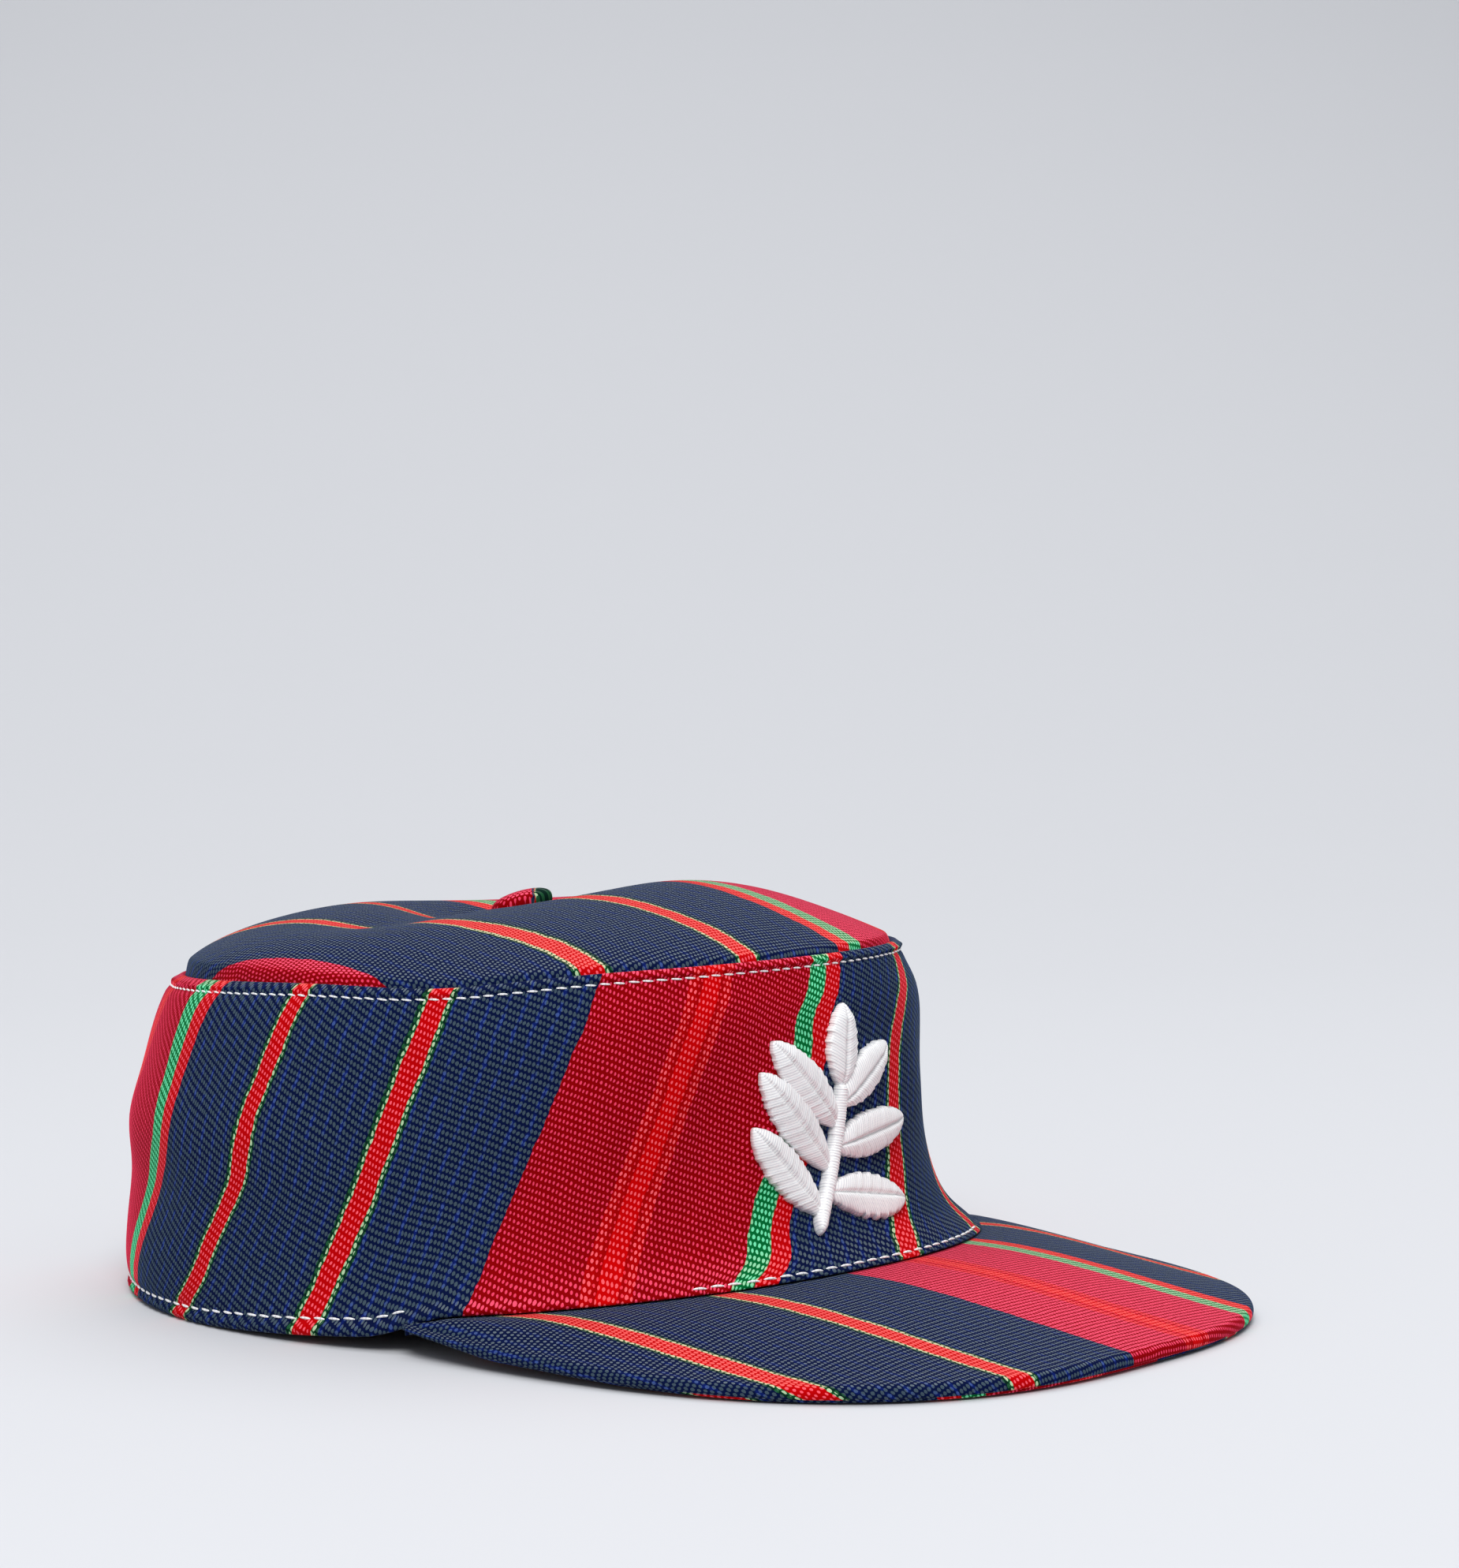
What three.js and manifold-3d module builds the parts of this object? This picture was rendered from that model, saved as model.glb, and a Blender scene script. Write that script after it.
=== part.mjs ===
// A soft striped pillbox cap with a peak, at rest on the back of its rim and the two sides of its peak.
// Millimetres, +Z up, floor at z = 0, origin in the middle of the footprint.
// The front of the cap faces -Y and the wearer's right is -X.
// A turn is an angle round the cap: 0 at the front, growing towards +X.
import * as THREE from "three";
import { mergeVertices } from "three/addons/utils/BufferGeometryUtils.js";
import Module from "manifold-3d";

const radians = THREE.MathUtils.degToRad;
const { clamp, smoothstep } = THREE.MathUtils;

// Head opening: an oval about 580 mm round, a little squarer than an ellipse
const RIM_HALF_LENGTH = 95.6;
const RIM_HALF_WIDTH = 86.9;
const OVAL_POWER = 2.15;

// The rim lies on the floor at the back and lifts towards the front, where the peak carries it
const RIM_FRONT_LIFT = 8.2;
const RIM_LIFTS_AHEAD_OF = 20;
const RIM_LIFT_POWER = 1.34;

// Seam between band and top: a smaller oval, set back and tipped up at the front
const SEAM_HALF_LENGTH = 81.2;
const SEAM_HALF_WIDTH = 73.7;
const SEAM_SET_BACK = 2.8;
const SEAM_HEIGHT = 69.2;
const SEAM_TIP = 0.0403;

// Cloth
const BAND_THICK = 2;
const TOP_THICK = 1.6;
const SEWN_GAP = 0.3;

// How far out the wall stands at each height, from the seam's oval (0) to the rim's oval (1)
const WALL_PROFILE = [
  { up: 0.0, front: 1.0, back: 0.965 },
  { up: 0.1, front: 0.58, back: 1.04 },
  { up: 0.2, front: 0.38, back: 1.02 },
  { up: 0.35, front: 0.25, back: 0.965 },
  { up: 0.55, front: 0.215, back: 0.905 },
  { up: 0.7, front: 0.19, back: 0.72 },
  { up: 0.85, front: 0.145, back: 0.485 },
  { up: 0.95, front: 0.03, back: 0.23 },
  { up: 1.0, front: 0.0, back: 0.0 },
];
const FRONT_PROFILE_WITHIN = radians(55);
const BACK_PROFILE_BEYOND = radians(115);

// Soft dents pressed into the wall, and bulges where the depth is negative
const WALL_DENTS = [
  { turn: radians(-118), wide: radians(16), up: 0.36, tall: 0.13, deep: 1.8 },
  { turn: radians(-112), wide: radians(18), up: 0.62, tall: 0.12, deep: -0.8 },
];

// Places where the soft top seam sags
const SEAM_SAGS = [{ turn: radians(-62), wide: radians(16), drop: 1.6 }];

// Top panel: a puff that rises sooner at the back than at the front, two bulges and a dent, and a dimple
const TOP_PUFF = 10.5;
const TOP_EDGE = { frontPower: 3.9, frontRoot: 1, backPower: 5.8, backRoot: 0.75 };
const TOP_EDGE_FRONT_TO = -45;
const TOP_EDGE_BACK_FROM = 30;
const TOP_BULGES = [
  { x: 17, y: -20, wide: 35, lift: 3.6 },
  { x: -10, y: 51.5, wide: 31, lift: 2.3 },
  { x: -36, y: 13, wide: 14, lift: -2.5 },
];
const DIMPLE = { x: 5.5, y: 17, wide: 24, deep: 5.5, flatness: 3 };

// Cloth-covered button, which leans back with the floor of the dimple
const BUTTON_AT = new THREE.Vector2(6.5, 14.5);
const BUTTON_RADIUS = 7;
const BUTTON_HEIGHT = 6.2;
const BUTTON_FOOT_RADIUS = 5.2;
const BUTTON_SHOULDER_SHARE = 0.4;
const BUTTON_LEAN = radians(6.4);
const BUTTON_CLEAR = 0.5;

// Peak: two cloths between the wall's foot and an outer edge that is a squarish half oval
const PEAK_LENGTH = 67;
const PEAK_EDGE_POWER = 2.8;
const PEAK_CORNER_STEP = 0.8;
const PEAK_UPPER_THICK = 1.6;
const PEAK_UNDER_THICK = 1.4;
const PEAK_THICK = PEAK_UPPER_THICK + SEWN_GAP + PEAK_UNDER_THICK;
const PEAK_CROWN = 1;

// Height of the peak's upper face along its edge, from a corner (0) to the middle of the front (1)
const PEAK_EDGE_LIFT = [
  { along: 0.0, lift: 5.0 },
  { along: 0.12, lift: 4.4 },
  { along: 0.25, lift: 3.7 },
  { along: 0.42, lift: PEAK_THICK },
  { along: 0.58, lift: 3.6 },
  { along: 0.78, lift: 3.9 },
  { along: 1.0, lift: 4.1 },
];

// Emblem: a sprig of leaves, each a padded almond, on the middle of the front
const EMBLEM_HEIGHT = 39.8;
const LEAF_PAD = 2.4;
const LEAF_EDGE = 0.9;
const LEAF_STAGGER = 0.06;
const LEAF_POINT_POWER = 1.4;
const STEM_WIDTH = 3;
const STEM = { fromAcross: -10, fromUp: -22, toAcross: 3, toUp: 7, bow: 3 };
const LEAVES = [
  { along: 0.12, side: -1, length: 23, wide: 8.5, lean: 72 },
  { along: 0.26, side: 1, length: 25, wide: 9, lean: 66 },
  { along: 0.4, side: -1, length: 27, wide: 9, lean: 66 },
  { along: 0.55, side: 1, length: 26, wide: 9, lean: 60 },
  { along: 0.7, side: -1, length: 25, wide: 9, lean: 56 },
  { along: 0.84, side: 1, length: 21, wide: 8.5, lean: 48 },
  { along: 0.97, side: 0, length: 17, wide: 8.5, lean: 0 },
];

// Fineness of the faceted solids
const BAND_STEPS = 82;
const BAND_ROWS = [0, 0.04, 0.1, 0.17, 0.25, 0.35, 0.46, 0.58, 0.7, 0.8, 0.88, 0.94, 0.975, 1];
const TOP_STEPS = 72;
const TOP_ROWS = [1, 0.975, 0.94, 0.88, 0.78, 0.66, 0.53, 0.4, 0.28, 0.18, 0.09];
const PEAK_CORNER_AT_STEP = 15;
const PEAK_STEPS = 2 * PEAK_CORNER_AT_STEP;
const PEAK_ROWS = [0, 0.14, 0.3, 0.48, 0.66, 0.84, 1];
const LEAF_STEPS = 14;
const LEAF_ROWS = [1, 0.7];
const STEM_STEPS = 10;
const BUTTON_STEPS = 20;
const BUTTON_ROWS = 5;

// The peak's corners and steps meet the wall at its own facets, so that the two stay a constant gap apart
const BAND_STEP_TURN = (2 * Math.PI) / BAND_STEPS;
const PEAK_CORNER_TURN = PEAK_CORNER_AT_STEP * BAND_STEP_TURN;
const FOOT_RAMP_TURN = 1.5 * BAND_STEP_TURN;

const COLOURS = { navy: 0x222a3e, crimson: 0x8e1028, white: 0xf2f1ee };
const CLOTH_ROUGHNESS = 0.9;
const THREAD_ROUGHNESS = 0.45;

const wasm = await Module();
wasm.setup();

const signedPower = (value, power) => Math.sign(value) * Math.abs(value) ** power;
const mix = (a, b, share) => a + (b - a) * share;
const bell = (distance, wide) => Math.exp(-((distance / wide) ** 2));

// A smooth curve through one column of a table, whose rows are in order of another column.
function through(table, by, column, at) {
  const last = table.length - 1;
  let i = 0;
  while (i < last - 1 && table[i + 1][by] < at) i += 1;
  const slope = (k) => {
    const lo = table[Math.max(k - 1, 0)];
    const hi = table[Math.min(k + 1, last)];
    return (hi[column] - lo[column]) / (hi[by] - lo[by]);
  };
  const run = table[i + 1][by] - table[i][by];
  const t = (at - table[i][by]) / run;
  const start = (1 + 2 * t) * (1 - t) ** 2;
  const end = t ** 2 * (3 - 2 * t);
  const leave = t * (1 - t) ** 2 * run;
  const arrive = t ** 2 * (t - 1) * run;
  return start * table[i][column] + end * table[i + 1][column] + leave * slope(i) + arrive * slope(i + 1);
}

function oval(halfWidth, halfLength, turn) {
  const power = 2 / OVAL_POWER;
  const x = halfWidth * signedPower(Math.sin(turn), power);
  const y = -halfLength * signedPower(Math.cos(turn), power);
  return new THREE.Vector2(x, y);
}

function rimHeight(y) {
  const ahead = (RIM_LIFTS_AHEAD_OF - y) / (RIM_LIFTS_AHEAD_OF + RIM_HALF_LENGTH);
  return RIM_FRONT_LIFT * clamp(ahead, 0, 1) ** RIM_LIFT_POWER;
}

function seamPlan(turn) {
  const plan = oval(SEAM_HALF_WIDTH, SEAM_HALF_LENGTH, turn);
  plan.y += SEAM_SET_BACK;
  return plan;
}

function seamHeight(turn, y) {
  const sag = SEAM_SAGS.reduce((sum, row) => sum + row.drop * bell(turn - row.turn, row.wide), 0);
  return SEAM_HEIGHT - SEAM_TIP * y - sag;
}

// How much of the wall's foot stands on the peak: 1 in front, 0 past the peak's corners.
function onPeak(turn) {
  return 1 - smoothstep(Math.abs(turn), PEAK_CORNER_TURN - FOOT_RAMP_TURN, PEAK_CORNER_TURN + FOOT_RAMP_TURN);
}

function footHeight(turn, y) {
  return rimHeight(y) + onPeak(turn) * (PEAK_THICK + SEWN_GAP);
}

function wallOut(turn, up) {
  const backness = smoothstep(Math.abs(turn), FRONT_PROFILE_WITHIN, BACK_PROFILE_BEYOND);
  return mix(through(WALL_PROFILE, "up", "front", up), through(WALL_PROFILE, "up", "back", up), backness);
}

function wallDent(turn, up) {
  return WALL_DENTS.reduce((sum, row) => {
    return sum + row.deep * bell(turn - row.turn, row.wide) * bell(up - row.up, row.tall);
  }, 0);
}

// Outer face of the side band, moved inwards by a depth measured level.
function wallPoint(turn, up, depth) {
  const plan = seamPlan(turn).lerp(oval(RIM_HALF_WIDTH, RIM_HALF_LENGTH, turn), wallOut(turn, up));
  const rimPlan = oval(RIM_HALF_WIDTH, RIM_HALF_LENGTH, turn);
  const z = mix(footHeight(turn, rimPlan.y), seamHeight(turn, seamPlan(turn).y), up);
  const power = OVAL_POWER - 1;
  const normal = new THREE.Vector2(
    signedPower(plan.x / RIM_HALF_WIDTH, power) / RIM_HALF_WIDTH,
    signedPower(plan.y / RIM_HALF_LENGTH, power) / RIM_HALF_LENGTH,
  ).normalize();
  plan.addScaledVector(normal, -depth - wallDent(turn, up));
  return new THREE.Vector3(plan.x, plan.y, z);
}

// Rise of the top panel's upper face over the seam's plane, at a place in plan and a share of the way
// from the panel's middle (0) to the seam (1).
function topRise(plan, share) {
  const backness = smoothstep(plan.y, TOP_EDGE_FRONT_TO, TOP_EDGE_BACK_FROM);
  const power = mix(TOP_EDGE.frontPower, TOP_EDGE.backPower, backness);
  const root = mix(TOP_EDGE.frontRoot, TOP_EDGE.backRoot, backness);
  const puff = Math.max(1 - share ** power, 0) ** root;
  const bulge = TOP_BULGES.reduce((sum, row) => {
    return sum + row.lift * bell(Math.hypot(plan.x - row.x, plan.y - row.y), row.wide);
  }, 0);
  const fromDimple = Math.hypot(plan.x - DIMPLE.x, plan.y - DIMPLE.y) / DIMPLE.wide;
  const dimple = DIMPLE.deep * Math.exp(-(fromDimple ** DIMPLE.flatness));
  return SEWN_GAP + puff * (TOP_PUFF + bulge) - dimple;
}

function topPoint(turn, share) {
  const plan = new THREE.Vector2(0, SEAM_SET_BACK).lerp(seamPlan(turn), share);
  const base = mix(SEAM_HEIGHT - SEAM_TIP * plan.y, seamHeight(turn, plan.y), share ** 2);
  return new THREE.Vector3(plan.x, plan.y, base + topRise(plan, share));
}

function unitNormal(at, alongOne, alongTwo) {
  return alongOne.sub(at).cross(alongTwo.sub(at)).normalize();
}

function meshOf(points, triangles) {
  const geometry = new THREE.BufferGeometry();
  const positions = points.flatMap((p) => p.toArray());
  geometry.setAttribute("position", new THREE.Float32BufferAttribute(positions, 3));
  geometry.setIndex(triangles);
  return geometry;
}

const quad = (a, b, c, d) => [a, b, c, a, c, d];

// A closed solid from two faces given as rows of points: outer and inner are joined along the rows' edges.
// A ring's rows close on themselves.
function slab(outer, inner, ring) {
  const rows = outer.length;
  const steps = outer[0].length;
  const spans = ring ? steps : steps - 1;
  const top = rows - 1;
  const end = steps - 1;
  const triangles = [];
  const at = (face, row, step) => face * rows * steps + row * steps + (step % steps);
  for (let step = 0; step < spans; step += 1) {
    const next = step + 1;
    for (let row = 0; row < top; row += 1) {
      triangles.push(...quad(at(0, row, step), at(0, row, next), at(0, row + 1, next), at(0, row + 1, step)));
      triangles.push(...quad(at(1, row, step), at(1, row + 1, step), at(1, row + 1, next), at(1, row, next)));
    }
    triangles.push(...quad(at(1, 0, step), at(1, 0, next), at(0, 0, next), at(0, 0, step)));
    triangles.push(...quad(at(0, top, step), at(0, top, next), at(1, top, next), at(1, top, step)));
  }
  for (let row = 0; row < (ring ? 0 : top); row += 1) {
    triangles.push(...quad(at(0, row, 0), at(0, row + 1, 0), at(1, row + 1, 0), at(1, row, 0)));
    triangles.push(...quad(at(1, row, end), at(1, row + 1, end), at(0, row + 1, end), at(0, row, end)));
  }
  return meshOf([...outer, ...inner].flat(), triangles);
}

// A closed dome from rings of points that shrink to a middle point, over a base of the same rings.
function dome(rings, middle, baseRings, baseMiddle) {
  const steps = rings[0].length;
  const points = [...rings, ...baseRings].flat().concat(middle, baseMiddle);
  const triangles = [];
  const at = (ring, step) => ring * steps + (step % steps);
  const last = rings.length - 1;
  const base = rings.length;
  const tip = points.length - 2;
  for (let step = 0; step < steps; step += 1) {
    const next = step + 1;
    for (let ring = 0; ring < last; ring += 1) {
      const under = base + ring;
      triangles.push(...quad(at(ring, step), at(ring, next), at(ring + 1, next), at(ring + 1, step)));
      triangles.push(...quad(at(under, step), at(under + 1, step), at(under + 1, next), at(under, next)));
    }
    triangles.push(at(last, step), at(last, next), tip);
    triangles.push(at(base + last, next), at(base + last, step), tip + 1);
    triangles.push(...quad(at(base, step), at(base, next), at(0, next), at(0, step)));
  }
  return meshOf(points, triangles);
}

const turns = (steps) => Array.from({ length: steps }, (_, i) => (2 * Math.PI * i) / steps - Math.PI);

function sideBand() {
  const face = (depth) => BAND_ROWS.map((up) => turns(BAND_STEPS).map((turn) => wallPoint(turn, up, depth)));
  return slab(face(0), face(BAND_THICK), true);
}

function topPanel() {
  const small = 1e-3;
  const lower = (turn, share) => {
    if (share === 1) {
      const edge = wallPoint(turn, 1, BAND_THICK);
      return edge.setZ(edge.z + SEWN_GAP);
    }
    const at = topPoint(turn, share);
    const normal = unitNormal(at, topPoint(turn + small, share), topPoint(turn, share - small));
    return at.addScaledVector(normal, -TOP_THICK);
  };
  const rings = (face) => TOP_ROWS.map((share) => turns(TOP_STEPS).map((turn) => face(turn, share)));
  const middle = topPoint(0, 0);
  return dome(rings(topPoint), middle, rings(lower), middle.clone().setZ(middle.z - TOP_THICK));
}

function topButton() {
  const shoulder = BUTTON_SHOULDER_SHARE * BUTTON_HEIGHT;
  const crown = new THREE.EllipseCurve(0, shoulder, BUTTON_RADIUS, BUTTON_HEIGHT - shoulder, 0, Math.PI / 2);
  const foot = [new THREE.Vector2(0, 0), new THREE.Vector2(BUTTON_FOOT_RADIUS, 0)];
  const profile = [...foot, ...crown.getPoints(BUTTON_ROWS)];
  profile[profile.length - 1].x = 0;
  return new THREE.LatheGeometry(profile, BUTTON_STEPS);
}

// Outer edge of the peak's upper face: side runs from -1 at the right corner to 1 at the left one.
function peakEdge(side) {
  const corner = oval(RIM_HALF_WIDTH, RIM_HALF_LENGTH, PEAK_CORNER_TURN);
  const along = 1 - Math.abs(side);
  const sweep = (along * Math.PI) / 2;
  const power = 2 / PEAK_EDGE_POWER;
  const reach = RIM_HALF_LENGTH + PEAK_LENGTH + corner.y;
  const x = Math.sign(side) * (corner.x + PEAK_CORNER_STEP) * Math.cos(sweep) ** power;
  const y = corner.y - reach * Math.sin(sweep) ** power;
  return new THREE.Vector3(x, y, through(PEAK_EDGE_LIFT, "along", "lift", along));
}

// Upper face of the peak at a share of the way from the wall's foot (0) to the edge (1).
function peakPoint(side, share) {
  const foot = wallPoint(side * PEAK_CORNER_TURN, 0, 0);
  foot.z -= SEWN_GAP;
  const crown = PEAK_CROWN * 4 * share * (1 - share);
  const point = foot.lerp(peakEdge(side), share);
  return point.setZ(point.z + crown);
}

// One cloth of the peak, between two depths below the upper face, tucked under the whole wall.
function peakCloth(topDepth, thick) {
  const sides = Array.from({ length: PEAK_STEPS + 1 }, (_, i) => (2 * i) / PEAK_STEPS - 1);
  const tucked = (side) => {
    const under = wallPoint(side * PEAK_CORNER_TURN, 0, BAND_THICK);
    return under.setZ(peakPoint(side, 0).z);
  };
  const rows = PEAK_ROWS.map((share) => sides.map((side) => peakPoint(side, share)));
  const face = (depth) => {
    return [sides.map(tucked), ...rows].map((row) => row.map((p) => p.clone().setZ(p.z - depth)));
  };
  return slab(face(topDepth + thick), face(topDepth), false);
}

// A point on the front of the band: across and up from the emblem's middle, and out from the cloth.
function frontPoint(across, up, out) {
  const small = 1e-2;
  const foot = footHeight(0, -RIM_HALF_LENGTH);
  const share = (EMBLEM_HEIGHT + up - foot) / (seamHeight(0, SEAM_SET_BACK - SEAM_HALF_LENGTH) - foot);
  const halfWidth = mix(SEAM_HALF_WIDTH, RIM_HALF_WIDTH, wallOut(0, share));
  const x = halfWidth * Math.sin(across / halfWidth);
  const turn = Math.asin(signedPower(x / halfWidth, OVAL_POWER / 2));
  const at = wallPoint(turn, share, 0);
  const normal = unitNormal(at, wallPoint(turn + small, share, 0), wallPoint(turn, share + small, 0));
  return at.addScaledVector(normal, SEWN_GAP + out);
}

function stemPoint(along) {
  const bow = STEM.bow * Math.sin(Math.PI * along);
  const across = mix(STEM.fromAcross, STEM.toAcross, along) + bow;
  return new THREE.Vector2(across, mix(STEM.fromUp, STEM.toUp, along));
}

function stemHeading(along) {
  const small = 1e-2;
  return stemPoint(along + small).sub(stemPoint(along - small)).normalize();
}

// An almond pad, from its root along a heading.
function leafGeometry(root, heading, length, wide, foot) {
  const across = new THREE.Vector2(heading.y, -heading.x);
  const place = (ring, step, out) => {
    const turn = (2 * Math.PI * step) / LEAF_STEPS;
    const along = Math.cos(turn);
    const half = (wide / 2) * signedPower(Math.sin(turn), LEAF_POINT_POWER);
    const flat = root.clone().addScaledVector(heading, (length / 2) * (1 + ring * along));
    flat.addScaledVector(across, -ring * half);
    return frontPoint(flat.x, flat.y, out);
  };
  const steps = Array.from({ length: LEAF_STEPS }, (_, step) => step);
  const rings = (height) => LEAF_ROWS.map((ring) => steps.map((step) => place(ring, step, height(ring))));
  const pad = (ring) => foot + mix(LEAF_PAD, LEAF_EDGE, ring ** 3);
  return dome(rings(pad), place(0, 0, pad(0)), rings(() => foot), place(0, 0, foot));
}

function stemGeometry() {
  const alongs = Array.from({ length: STEM_STEPS + 1 }, (_, i) => i / STEM_STEPS);
  const place = (along, edge, out) => {
    const heading = stemHeading(along);
    const across = new THREE.Vector2(heading.y, -heading.x);
    const flat = stemPoint(along).addScaledVector(across, (edge * STEM_WIDTH) / 2);
    return frontPoint(flat.x, flat.y, edge === 0 ? out : Math.min(out, LEAF_EDGE));
  };
  const face = (out) => [-1, 0, 1].map((edge) => alongs.map((along) => place(along, edge, out)));
  return slab(face(0), face(LEAF_PAD), false);
}

function solidOf(geometry) {
  const merged = mergeVertices(geometry, 1e-4);
  const vertProperties = merged.attributes.position.array;
  const triVerts = new Uint32Array(merged.index.array);
  return new wasm.Manifold(new wasm.Mesh({ numProp: 3, vertProperties, triVerts }));
}

function frontEmblem() {
  const leaves = LEAVES.map((row, i) => {
    const lean = radians(-row.side * row.lean);
    const heading = stemHeading(row.along).rotateAround(new THREE.Vector2(), lean);
    const foot = (i + 1) * LEAF_STAGGER;
    return solidOf(leafGeometry(stemPoint(row.along), heading, row.length, row.wide, foot));
  });
  const joined = leaves.reduce((sum, leaf) => sum.add(leaf), solidOf(stemGeometry())).getMesh();
  const geometry = new THREE.BufferGeometry();
  geometry.setAttribute("position", new THREE.BufferAttribute(joined.vertProperties, 3));
  geometry.setIndex(new THREE.BufferAttribute(joined.triVerts, 1));
  return geometry;
}

function piece(name, geometry, colour, roughness) {
  geometry.computeVertexNormals();
  const material = new THREE.MeshStandardMaterial({ color: colour, roughness, metalness: 0 });
  const mesh = new THREE.Mesh(geometry, material);
  mesh.name = name;
  return mesh;
}

const sewn = new THREE.Group();
sewn.add(piece("side_band", sideBand(), COLOURS.navy, CLOTH_ROUGHNESS));
sewn.add(piece("top_panel", topPanel(), COLOURS.navy, CLOTH_ROUGHNESS));
sewn.add(piece("peak_upper", peakCloth(0, PEAK_UPPER_THICK), COLOURS.navy, CLOTH_ROUGHNESS));
const underCloth = peakCloth(PEAK_UPPER_THICK + SEWN_GAP, PEAK_UNDER_THICK);
sewn.add(piece("peak_under", underCloth, COLOURS.navy, CLOTH_ROUGHNESS));
sewn.add(piece("front_emblem", frontEmblem(), COLOURS.white, THREAD_ROUGHNESS));

const button = piece("top_button", topButton(), COLOURS.crimson, CLOTH_ROUGHNESS);
const dimpleFloor = SEAM_HEIGHT - SEAM_TIP * BUTTON_AT.y + topRise(BUTTON_AT, 0);
button.rotation.x = Math.PI / 2 - BUTTON_LEAN;
button.position.set(BUTTON_AT.x, BUTTON_AT.y, dimpleFloor + BUTTON_CLEAR);
sewn.add(button);

// The shapes above are drawn about the middle of the head opening. The origin is the middle of the footprint.
const footprint = new THREE.Box3().setFromObject(sewn);
sewn.position.y = -(footprint.min.y + footprint.max.y) / 2;

const cap = new THREE.Group();
cap.add(sewn);

export default cap;
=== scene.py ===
"""Looks of a soft striped pillbox cap with a peak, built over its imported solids.

Shapes are worked out in millimetres about the middle of the head opening: +Z up, the front at -Y, the
wearer's right at -X. A turn is an angle round the cap, 0 at the front and growing towards +X.
Every cloth piece carries a map of the cloth it is cut from: millimetres across and along the stripes.
"""

import math

import bpy
import numpy as np
from mathutils import Matrix, Vector


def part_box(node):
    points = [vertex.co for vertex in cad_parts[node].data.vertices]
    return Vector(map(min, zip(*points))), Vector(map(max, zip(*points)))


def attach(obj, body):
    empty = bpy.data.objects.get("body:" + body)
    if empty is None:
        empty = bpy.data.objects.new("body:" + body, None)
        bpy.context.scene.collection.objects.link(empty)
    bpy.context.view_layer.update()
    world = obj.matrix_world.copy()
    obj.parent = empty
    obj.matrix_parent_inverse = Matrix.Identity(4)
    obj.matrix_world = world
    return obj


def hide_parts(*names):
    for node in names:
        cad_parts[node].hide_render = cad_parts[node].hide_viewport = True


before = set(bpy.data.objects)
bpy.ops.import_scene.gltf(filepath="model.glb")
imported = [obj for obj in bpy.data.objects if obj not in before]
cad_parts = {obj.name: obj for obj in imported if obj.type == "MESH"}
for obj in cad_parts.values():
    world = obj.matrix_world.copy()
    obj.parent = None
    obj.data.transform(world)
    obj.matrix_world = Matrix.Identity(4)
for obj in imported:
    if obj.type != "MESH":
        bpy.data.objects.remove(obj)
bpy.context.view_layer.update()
METRES = 0.001
SEED = 7
NUDGE = 0.01
LEAST_LENGTH = 1e-9

# Head opening and the seam round the top
RIM_HALF_LENGTH = 95.6
RIM_HALF_WIDTH = 86.9
OVAL_POWER = 2.15
RIM_FRONT_LIFT = 8.2
RIM_LIFTS_AHEAD_OF = 20.0
RIM_LIFT_POWER = 1.34
SEAM_HALF_LENGTH = 81.2
SEAM_HALF_WIDTH = 73.7
SEAM_SET_BACK = 2.8
SEAM_HEIGHT = 70.3
SEAM_TIP = 0.0403
SEAM_SAG = {"turn": math.radians(-62), "wide": math.radians(16), "drop": 1.6}
SEAM_DRAWN_IN = {"turn": math.radians(46), "wide": math.radians(22), "by": 0.016}

# Cloth
BAND_THICK = 2.0
TOP_THICK = 1.6
SEWN_GAP = 0.3

# How far out the wall stands at each height, from the seam's oval (0) to the rim's oval (1)
WALL_UP = (0.0, 0.1, 0.2, 0.35, 0.55, 0.7, 0.85, 0.95, 1.0)
WALL_FRONT = (1.0, 0.58, 0.38, 0.25, 0.215, 0.19, 0.145, 0.03, 0.0)
WALL_BACK = (0.965, 1.04, 1.02, 0.965, 0.885, 0.675, 0.455, 0.225, 0.0)
FRONT_PROFILE_WITHIN = math.radians(55)
BACK_PROFILE_BEYOND = math.radians(115)
WALL_DENTS = (
    {"turn": math.radians(-118), "wide": math.radians(16), "up": 0.36, "tall": 0.13, "deep": 1.8},
    {"turn": math.radians(-112), "wide": math.radians(18), "up": 0.62, "tall": 0.12, "deep": -0.8},
    {"turn": math.radians(-20), "wide": math.radians(6), "up": 0.5, "tall": 0.2, "deep": 1.5},
    {"turn": math.radians(46), "wide": math.radians(20), "up": 0.8, "tall": 0.17, "deep": -1.6},
    {"turn": math.radians(46), "wide": math.radians(20), "up": 0.48, "tall": 0.25, "deep": -1.2},
)
# Soft unevenness of the wall: waves round it, how fast each climbs and how deep it goes
WALL_WAVES = (
    {"round": 7, "start": 0.6, "climb": 3.0, "deep": 0.3},
    {"round": 12, "start": 2.1, "climb": -5.0, "deep": 0.22},
    {"round": 19, "start": 4.0, "climb": 8.0, "deep": 0.14},
)
WALL_WAVES_UP = 0.5
WALL_WAVES_TALL = 0.35

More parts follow.
